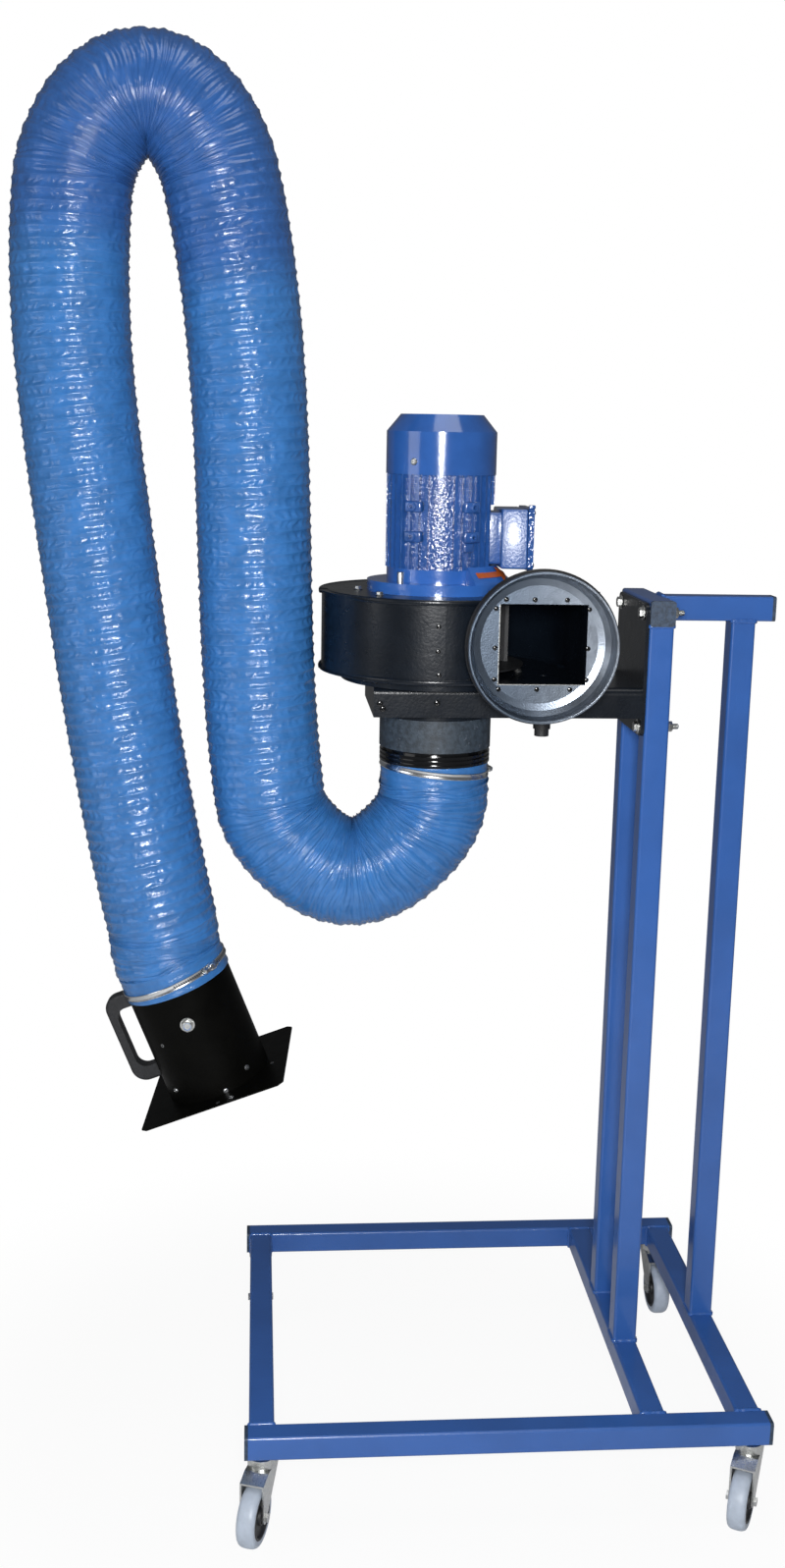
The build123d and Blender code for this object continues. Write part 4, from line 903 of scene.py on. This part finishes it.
def band_clamp(name, place, radius, turn, body, node):
    """A worm-drive band: a slotted strap with raised edges, its housing and its screw."""
    half = 0.0045
    shape = bmesh.new()
    outline = [(radius, -half), (radius + 0.0009, -half), (radius + 0.0013, -half + 0.0008),
               (radius + 0.0008, -half + 0.0018), (radius + 0.0008, half - 0.0018),
               (radius + 0.0013, half - 0.0008), (radius + 0.0009, half), (radius, half)]
    turned(shape, outline, place, steps=128)
    at_housing = place @ spun(turn, "Z") @ shifted(radius, 0, 0)
    slab(shape, at_housing @ shifted(0.0016, 0, 0), 0.0026, 0.022, 0.0112, round_edge=0.0009)
    slab(shape, at_housing @ shifted(0.0056, 0, 0), 0.0072, 0.0125, 0.0108, round_edge=0.003,
         segments=3)
    piece(name, shape, "band", body, [node], sharp=40)
    shape = bmesh.new()
    along = spun(-90, "X")
    rod(shape, at_housing @ shifted(0.0056, -0.0135, 0) @ along, 0.0036, 0.023, sides=24,
        round_edge=0.0006)
    rod(shape, at_housing @ shifted(0.0056, -0.0165, 0) @ along, 0.0046, 0.006, sides=6,
        round_edge=0.0006)
    piece(name + "_screw", shape, "zinc", body, sharp=40)
    shape = bmesh.new()
    for side in (-1, 1):
        for i in range(14):
            at = place @ spun(turn + side * (10 + i * 2.6), "Z") @ shifted(radius + 0.0007, 0, 0)
            slab(shape, at @ spun(14, "X"), 0.0006, 0.0013, 0.0046, round_edge=0.0002)
    piece(name + "_slots", shape, "plastic", body)


class ARM_OT_swivel(bpy.types.Operator):
    """Finishes the inlet collar, the swivel under it and the inner arm"""
    bl_idname = "extraction_arm.swivel"
    bl_label = "Swivel and inner arm"

    def execute(self, context):
        dress(("inlet_collar",), "collar")
        dress(("slide_ring",), "slide")
        dress(("swivel_ring",), "gloss")
        dress(("swivel_bracket", "lower_arm", "upper_arm"), "steel")
        dress(("shoulder_pivot", "elbow_pivot"), "zinc")
        fan = middle("motor_cowl")
        place = shifted(fan.x, fan.y, 1.0125) @ spun(5.3, "Y")
        band_clamp("inlet_band", place, 0.0774, 20, "swivel", "inlet_clamp")
        turn = Matrix.Rotation(-context.scene.arm_sizes.hood_tilt, 4, "Y")
        wrist = shifted(*joint_of["wrist"]["pos_m"])
        place = wrist @ turn @ shifted(0, 0, 0.0585) @ spun(-3, "Y")
        band_clamp("hood_band", place, 0.0788, -43, "hood", "hood_clamp")
        return {"FINISHED"}


# Hose
hose_y = middle("motor_cowl").y
columns = 144
folds_round = 36
pleats_per_rib = 3
curve_step = 0.002


def on_bend(x, z, radius, degrees):
    """A place and heading on a round bend in the hose's upright plane."""
    angle = math.radians(degrees)
    across, up = math.cos(angle), math.sin(angle)
    return (x + radius * across, z + radius * up, -up, across)


def on_lower_bend(share):
    degrees = -172 * share
    radius = 0.1175 - 0.008 * math.sin(math.radians(2 * degrees)) ** 2
    x, z, across, up = on_bend(-0.0685, 0.9735, radius, degrees)
    return (x, z, -across, -up)


def on_upper_bend(share):
    degrees = 13 + 160 * share
    radius = 0.0975 + 0.0255 * math.sin(math.radians(degrees)) ** 4
    return on_bend(-0.348, 1.782, radius, degrees)


def downward(x, z, slope):
    length = math.hypot(slope, 1)
    return (x, z, slope / length, -1 / length)


def between(first, second):
    """A smooth run from one place and heading to another."""
    chord = math.hypot(second[0] - first[0], second[1] - first[1])

    def at(share):
        a = 2 * share ** 3 - 3 * share ** 2 + 1
        b = share ** 3 - 2 * share ** 2 + share
        c = 3 * share ** 2 - 2 * share ** 3
        d = share ** 3 - share ** 2
        return tuple(
            a * first[i] + b * first[i + 2] * chord + c * second[i] + d * second[i + 2] * chord
            for i in (0, 1)
        )
    return at


def hood_place(along, tilt):
    """A place on the hood's own line, measured down from the wrist."""
    wrist = joint_of["wrist"]["pos_m"]
    return (wrist[0] + along * math.sin(tilt), wrist[2] - along * math.cos(tilt),
            math.sin(tilt), -math.cos(tilt))


def hose_line(tilt):
    """Points along the middle of the hose, from the inlet to the hood, and its length at each."""
    leg_middle = downward(-0.432, 1.391, 0.12)
    leg_end = downward(-0.339, 0.780, 0.22)
    runs = (
        (on_lower_bend, 120),
        (between(on_lower_bend(1), on_upper_bend(0)), 120),
        (on_upper_bend, 120),
        (between(on_upper_bend(1), leg_middle), 80),
        (between(leg_middle, leg_end), 80),
        (between(leg_end, hood_place(-0.085, tilt)), 16),
    )
    line = [Vector((0.049, 0.9735 + 0.06))]
    for run, count in runs:
        for i in range(count):
            x, z = run(i / count)[:2]
            line.append(Vector((x, z)))
    for along in (-0.085, -0.030):
        x, z = hood_place(along, tilt)[:2]
        line.append(Vector((x, z)))
    lengths = [-0.06]
    for first, second in zip(line, line[1:]):
        lengths.append(lengths[-1] + (second - first).length)
    return line, lengths


def along_line(line, lengths, distance):
    """The point and heading at a distance along the hose."""
    low, high = 0, len(lengths) - 2
    while low < high:
        half = (low + high + 1) // 2
        if lengths[half] <= distance:
            low = half
        else:
            high = half - 1
    share = (distance - lengths[low]) / (lengths[low + 1] - lengths[low])
    point = line[low].lerp(line[low + 1], share)
    before = line[max(low - 1, 0)]
    middle_heading = (line[low + 1] - line[low]).normalized()
    heading_before = (line[low] - before).normalized() if low else middle_heading
    after = line[min(low + 2, len(line) - 1)]
    heading_after = (after - line[low + 1]).normalized() if low + 2 < len(line) else middle_heading
    first = (heading_before + middle_heading) / 2
    second = (middle_heading + heading_after) / 2
    return point, first.lerp(second, share).normalized()


def curve_table(line, lengths):
    """How sharply the hose bends, at even steps from its start; positive towards its own side."""
    table = []
    for i in range(int(lengths[-1] / curve_step)):
        _, before = along_line(line, lengths, max(0, i * curve_step - 0.012))
        _, after = along_line(line, lengths, min(lengths[-1] - 0.001, i * curve_step + 0.012))
        change = after - before
        side = Vector((after.y, -after.x))
        table.append(change.dot(side) / 0.024)
    return table


def zigzag(value):
    """A wave of straight flanks from 0 to 1 and back."""
    return 1 - abs(2 * (value % 1) - 1)


class ARM_OT_hose(bpy.types.Operator):
    """Makes the hose: coated film over a wire coil, in five pieces that join without a step"""
    bl_idname = "extraction_arm.hose"
    bl_label = "Hose"

    def execute(self, context):
        sizes = context.scene.arm_sizes
        line, lengths = hose_line(sizes.hood_tilt)
        curves = curve_table(line, lengths)
        total = lengths[-2]
        pitch = total / sizes.hose_ribs
        marks = (-2, round(0.337 / pitch), round(1.188 / pitch), round(1.496 / pitch),
                 round(2.518 / pitch), sizes.hose_ribs + 1)
        pieces = (
            ("hose_lower_bend", ("swivel", "lower_arm"), 18),
            ("hose_lower_leg", ("lower_arm",), 10),
            ("hose_upper_bend", ("lower_arm", "upper_arm"), 18),
            ("hose_upper_leg", ("upper_arm",), 10),
            ("hose_wrist_bend", ("upper_arm", "hood"), 18),
        )
        for (node, bodies, rows_per_rib), first, last in zip(pieces, marks, marks[1:]):
            rows = (last - first) * rows_per_rib
            shape = self.film(sizes, first, last, rows, curves, pitch, total)
            self.lay(shape, node, bodies, first, last, line, lengths, pitch)
        self.cuffs(sizes)
        return {"FINISHED"}

    def film(self, sizes, first, last, rows, curves, pitch, total):
        """One piece of the film, made straight."""
        shape = bmesh.new()
        shape.loops.layers.uv.new("film")
        bmesh.ops.create_grid(shape, x_segments=columns, y_segments=rows, size=1, calc_uvs=True)
        film_map = shape.loops.layers.uv["film"]
        for face in shape.faces:
            for loop in face.loops:
                u = (loop.vert.co.x + 1) / 2
                v = (loop.vert.co.y + 1) / 2
                loop[film_map].uv = (u * 24, first + v * (last - first) + u)
        for vert in shape.verts:
            turn = (vert.co.x + 1) / 2
            rib = first + (vert.co.y + 1) / 2 * (last - first)
            along = (rib + turn) * pitch
            angle = 2 * math.pi * turn
            curve = curves[min(len(curves) - 1, max(0, round(along / curve_step)))]
            radius = self.radius_at(sizes, turn, rib, along, total, curve)
            vert.co = Vector((radius * math.cos(angle), radius * math.sin(angle), along))
        bmesh.ops.remove_doubles(shape, verts=shape.verts, dist=1e-6)
        return shape

    def lay(self, shape, node, bodies, first, last, line, lengths, pitch):
        """Lays a straight piece along the hose and lets a piece with one body ride on it."""
        made = piece(node + "_film", shape, "hose", None, [node], sharp=180)
        if len(bodies) == 2:
            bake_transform(made)
        for vert in made.data.vertices:
            point, heading = along_line(line, lengths, vert.co.z)
            side = Vector((heading.y, -heading.x))
            out = side * vert.co.x
            vert.co = Vector((point.x + out.x, hose_y + vert.co.y, point.y + out.y))
        if len(bodies) == 1:
            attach(made, bodies[0])

    def radius_at(self, sizes, turn, rib, along, total, curve):
        """How far the film stands from the hose's middle."""
        angle = 2 * math.pi * turn
        ring = Vector((math.cos(angle), math.sin(angle), 0))
        share = rib % 1
        number = rib - share
        between_wires = math.sin(math.pi * share)
        wander = noise.noise(ring * 4 + Vector((0, 0, rib * 0.9)))
        slant = 0.6 if number % 2 else -0.6
        fold = zigzag(turn * folds_round + slant * share + 1.1 * wander + number * 0.37)
        strength = 0.75 + 0.7 * noise.noise(ring * 2.2 + Vector((9, 0, rib * 0.5)))
        inward = ring.x if curve > 0 else -ring.x
        squeeze = min(1, max(0, 2.2 * abs(curve) * sizes.crest_radius * (0.6 * inward + 1.0)))
        drift = noise.noise(ring * 1.5 + Vector((0, 5, rib * 0.6)))
        pleat = zigzag(pleats_per_rib * rib + 1.4 * drift)
        sag = sizes.film_sag * (1 + 0.5 * noise.noise(ring * 3 + Vector((5, 0, along * 30))))
        folds = sizes.wrinkle * strength * fold * (1 - 0.7 * squeeze)
        radius = sizes.crest_radius - between_wires * (sag + folds)
        radius -= sizes.pleat * squeeze * pleat * (0.35 + 0.65 * between_wires)
        start = min(1, max(0, (along + 0.034) / 0.014))
        end = min(1, max(0, (total + 0.016 - along) / 0.014))
        tuck = min(start, end)
        under_clamp = 0.0758
        return under_clamp + (radius - under_clamp) * tuck * tuck * (3 - 2 * tuck)

    def cuffs(self, sizes):
        """The plain ends of the hose that the clamps hold."""
        fan = middle("motor_cowl")
        line = Vector((math.sin(sizes.hood_tilt), 0, -math.cos(sizes.hood_tilt)))
        at_inlet = aimed((fan.x, fan.y, 0.988), (0, 0, 1))
        at_hood = aimed(Vector(joint_of["wrist"]["pos_m"]) - line * 0.080, line)
        wall = 0.0014
        steps = 16
        for name, body, place, inner, height in (
            ("hose_inlet_cuff", "swivel", at_inlet, 0.0753, 0.0347),
            ("hose_hood_cuff", "hood", at_hood, 0.0763, 0.036),
        ):
            outline = [(inner, 0.0)]
            for i in range(steps + 1):
                share = i / steps
                ripple = 0.0004 * math.sin(share * math.pi * 7)
                outline.append((inner + wall + ripple, height * share))
            outline.append((inner, height))
            shape = bmesh.new()
            verts = turned(shape, outline, Matrix.Identity(4), steps=96)
            for vert in verts:
                x, y, z = vert.co
                if vert.co.to_2d().length > inner + 0.0004:
                    push = 0.0005 * noise.noise(Vector((x * 60, y * 60, z * 120)))
                    vert.co += Vector((x, y, 0)).normalized() * push
            bmesh.ops.transform(shape, matrix=place, verts=shape.verts)
            cuff_map = shape.loops.layers.uv.new("film")
            for face in shape.faces:
                for loop in face.loops:
                    loop[cuff_map].uv = (loop.vert.co.x * 60, loop.vert.co.z * 60)
            piece(name, shape, "hose", body, sharp=60)


# Hood
class ARM_OT_hood(bpy.types.Operator):
    """Finishes the hood: paint, wrist nut, screws and handle"""
    bl_idname = "extraction_arm.hood"
    bl_label = "Hood"

    def execute(self, context):
        dress(("hood_pipe", "hood_plate"), "hood")
        dress(("hood_handle",), "plastic")
        wrist = Vector(joint_of["wrist"]["pos_m"])
        low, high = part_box("wrist_bolt")
        front, rear = wrist.y - 0.0762, wrist.y + 0.0762
        bolt_radius, sheet = 0.005, 0.0016
        shape = bmesh.new()
        tip = aimed((wrist.x, low.y + sheet / 2, wrist.z), (0, 1, 0))
        rod(shape, tip, bolt_radius, high.y - low.y - sheet)
        for y, towards in ((front, -1), (rear, 1)):
            face = Vector((wrist.x, y, wrist.z))
            out = Vector((0, towards, 0))
            washer(shape, face, out, 0.0105, bolt_radius, sheet)
            hexagon(shape, face + out * sheet, out, 0.0092, 0.0062, edge=0.001)
        collar = [(0.0048, 0.0), (0.0072, 0.0), (0.0071, 0.0014), (0.0062, 0.0022),
                  (0.0054, 0.0022), (0.0054, 0.0008), (0.0048, 0.0008)]
        nose = (wrist.x, front - 0.0078, wrist.z)
        turned(shape, collar, aimed(nose, (0, -1, 0)), steps=32)
        piece("wrist_nut", shape, "zinc", "hood", ["wrist_bolt"])
        shape = bmesh.new()
        washer(shape, (wrist.x, front - 0.0080, wrist.z), (0, -1, 0), 0.0056, 0.0048, 0.0014)
        piece("wrist_nut_insert", shape, "insert", "hood")
        self.screws(context.scene.arm_sizes.hood_tilt, wrist)
        return {"FINISHED"}

    def screws(self, tilt, wrist):
        """The small screws and holes of the pipe and of its plate."""
        down = Vector((math.sin(tilt), 0, -math.cos(tilt)))
        right = Vector((math.cos(tilt), 0, math.sin(tilt)))
        towards_eye = Vector((0, -1, 0))
        shape = bmesh.new()

        def from_pipe(azimuth):
            angle = math.radians(azimuth)
            return right * math.cos(angle) + towards_eye * math.sin(angle)

        def on_plate(across, nearer):
            return wrist + down * 0.117 + right * across + towards_eye * nearer

        for along, azimuth in ((0.0989, 48), (0.095, 138), (0.114, 80)):
            out = from_pipe(azimuth)
            screw_head(shape, wrist + down * along + out * 0.076, out, 0.0042, 0.0022)
        screw_head(shape, on_plate(0.0208, 0.099), -down, 0.004, 0.002)
        piece("hood_screws", shape, "steel", "hood")
        shape = bmesh.new()
        out = from_pipe(129)
        washer(shape, wrist + down * 0.022 + out * 0.0759, out, 0.0028, 0.0014, 0.0004)
        for across, nearer in ((0.0002, 0.0985), (0.083, 0.0273)):
            washer(shape, on_plate(across, nearer), -down, 0.003, 0.0016, 0.0004)
        piece("hood_holes", shape, "steel", "hood")


# Castors
castor_names = ("front_left", "front_right", "rear_left", "rear_right")


class ARM_OT_castors(bpy.types.Operator):
    """Makes the pale tyres and black hubs, and finishes the plated forks"""
    bl_idname = "extraction_arm.castors"
    bl_label = "Castors"

    def execute(self, context):
        dress(("castor_heads",), "zinc")
        for name in castor_names:
            dress((name + "_fork",), "zinc")
            roll = joint_of[name + "_roll"]
            place = aimed(roll["pos_m"], roll["axis"])
            self.tyre(name, place)
            self.hub(name, place)
        return {"FINISHED"}

    def tyre(self, name, place):
        outer, inner, half, crown = 0.042, 0.031, 0.013, 0.0078
        outline = [(inner, -half + 0.001)]
        steps = 14
        for i in range(steps + 1):
            angle = math.pi * (i / steps - 0.5)
            side = math.sin(angle)
            outline.append((
                outer - crown + crown * math.cos(angle) ** 0.8,
                half * math.copysign(abs(side) ** 0.7, side)))
        outline.append((inner, half - 0.001))
        shape = bmesh.new()
        turned(shape, outline, place, steps=72)
        wheel = name + "_wheel"
        piece(name + "_tyre", shape, "tyre", wheel, [wheel], sharp=60)

    def hub(self, name, place):
        half = 0.0137
        profile = [(0.0042, half), (0.010, half), (0.0112, half - 0.001), (0.0118, half - 0.0045),
                   (0.0235, half - 0.0055), (0.0262, half - 0.0045), (0.0278, half - 0.0012),
                   (0.0302, half - 0.0008), (0.0312, half - 0.002)]
        outline = profile + [(radius, -height) for radius, height in reversed(profile)]
        shape = bmesh.new()
        turned(shape, outline, place, steps=64)
        piece(name + "_hub", shape, "plastic", name + "_wheel")


# Stage
def soft_light(name, place, target, size, power):
    lamp = bpy.data.lights.new(name, "AREA")
    lamp.shape = "DISK"
    lamp.size = size
    lamp.energy = power
    made = bpy.data.objects.new(name, lamp)
    made.location = place
    made.rotation_euler = (Vector(target) - Vector(place)).to_track_quat("-Z", "Y").to_euler()
    bpy.context.scene.collection.objects.link(made)


def for_eye(owner, seen, lit, end):
    """Shows one shader to the camera and another to the light that bounces."""
    choice = add_node(owner, "MixShader")
    join(owner, add_node(owner, "LightPath"), "Is Camera Ray", choice, 0)
    join(owner, lit, 0, choice, 1)
    join(owner, seen, 0, choice, 2)
    join(owner, choice, 0, owner.node_tree.nodes[end], "Surface")


def make_world():
    world = bpy.data.worlds.new("studio")
    bpy.context.scene.world = world
    world.use_nodes = True
    seen = world.node_tree.nodes["Background"]
    set_inputs(seen, {"Color": (1, 1, 1, 1), "Strength": 1.0})
    lit = add_node(world, "Background", {"Color": (0.95, 0.97, 1, 1), "Strength": 0.12})
    for_eye(world, seen, lit, "World Output")


def make_floor():
    """A pale floor that keeps a faint shadow near the machine and is white further out."""
    shape = bmesh.new()
    bmesh.ops.create_grid(shape, x_segments=8, y_segments=8, size=9)
    mesh = bpy.data.meshes.new("floor")
    shape.to_mesh(mesh)
    shape.free()
    floor = bpy.data.objects.new("floor", mesh)
    bpy.context.scene.collection.objects.link(floor)
    material = new_material("pale_floor")
    shader = shader_of(material)
    set_inputs(shader, {"Base Color": (0.8, 0.8, 0.8, 1), "Roughness": 0.7,
                        "Specular IOR Level": 0.1})
    white = add_node(material, "Emission", {"Strength": 1.0})
    distance = add_node(material, "VectorMath")
    distance.operation = "LENGTH"
    join(material, add_node(material, "TexCoord"), "Object", distance, 0)
    fade = ramp(material, 0.45, 1.0, distance, "Value", base=0.93)
    seen = add_node(material, "MixShader")
    join(material, fade, "Result", seen, 0)
    join(material, shader, 0, seen, 1)
    join(material, white, 0, seen, 2)
    for_eye(material, seen, shader, "Material Output")
    mesh.materials.append(material)


def make_camera(view):
    """The camera that the photograph was taken with, as far as the fit tells."""
    level = Vector((math.sin(view.yaw), math.cos(view.yaw), 0))
    ahead = level * math.cos(view.pitch) + Vector((0, 0, math.sin(view.pitch)))
    right = Vector((math.cos(view.yaw), -math.sin(view.yaw), 0))
    up = right.cross(ahead)
    turned_right = right * math.cos(view.roll) + up * math.sin(view.roll)
    turned_up = up * math.cos(view.roll) - right * math.sin(view.roll)
    camera = bpy.data.cameras.new("camera")
    camera.sensor_width = 36
    camera.lens = view.lens
    made = bpy.data.objects.new("camera", camera)
    turn = Matrix((turned_right, turned_up, -ahead)).transposed().to_4x4()
    made.matrix_world = Matrix.Translation(Vector(view.place)) @ turn
    bpy.context.scene.collection.objects.link(made)
    bpy.context.scene.camera = made


class ARM_OT_stage(bpy.types.Operator):
    """Sets up the pale floor, the soft lights and the camera"""
    bl_idname = "extraction_arm.stage"
    bl_label = "Stage"

    def execute(self, context):
        context.scene.view_settings.view_transform = "Standard"
        make_world()
        make_floor()
        target = (0, 0, 1.0)
        soft_light("key_light", (-0.20, -2.45, 1.60), target, 0.45, 62)
        soft_light("top_light", (0.3, -0.5, 3.8), target, 1.6, 16)
        soft_light("side_light", (-2.6, -1.2, 1.6), target, 1.4, 10)
        make_camera(context.scene.arm_view)
        return {"FINISHED"}


class ARM_OT_finishes(bpy.types.Operator):
    """Makes every finish of the machine"""
    bl_idname = "extraction_arm.finishes"
    bl_label = "Finishes"

    def execute(self, context):
        make_finishes(context.scene.arm_colours)
        return {"FINISHED"}


operators = (
    ARM_OT_finishes, ARM_OT_frame, ARM_OT_bolts, ARM_OT_casing, ARM_OT_outlet, ARM_OT_motor,
    ARM_OT_swivel, ARM_OT_hose, ARM_OT_hood, ARM_OT_castors, ARM_OT_stage,
)


class ARM_PT_panel(bpy.types.Panel):
    """Lists the pieces of the extraction arm"""
    bl_idname = "ARM_PT_panel"
    bl_label = "Extraction Arm"
    bl_space_type = "VIEW_3D"
    bl_region_type = "UI"
    bl_category = "Extraction Arm"

    def draw(self, context):
        scene = context.scene
        for group in (scene.arm_colours, scene.arm_sizes, scene.arm_view):
            box = self.layout.box()
            for key in group.__annotations__:
                box.prop(group, key)
        for operator in operators:
            self.layout.operator(operator.bl_idname)


groups = (("arm_colours", ArmColours), ("arm_sizes", ArmSizes), ("arm_view", ArmView))


def register():
    for _, group in groups:
        bpy.utils.register_class(group)
    for operator in operators:
        bpy.utils.register_class(operator)
    bpy.utils.register_class(ARM_PT_panel)
    for name, group in groups:
        setattr(bpy.types.Scene, name, bpy.props.PointerProperty(type=group))


def unregister():
    for name, _ in groups:
        delattr(bpy.types.Scene, name)
    bpy.utils.unregister_class(ARM_PT_panel)
    for operator in reversed(operators):
        bpy.utils.unregister_class(operator)
    for _, group in reversed(groups):
        bpy.utils.unregister_class(group)


def main():
    """Registers the add-on and runs every step that dresses the frame."""
    register()
    for operator in operators:
        category, name = operator.bl_idname.split(".")
        getattr(getattr(bpy.ops, category), name)()


if __name__ == "__main__":
    main()
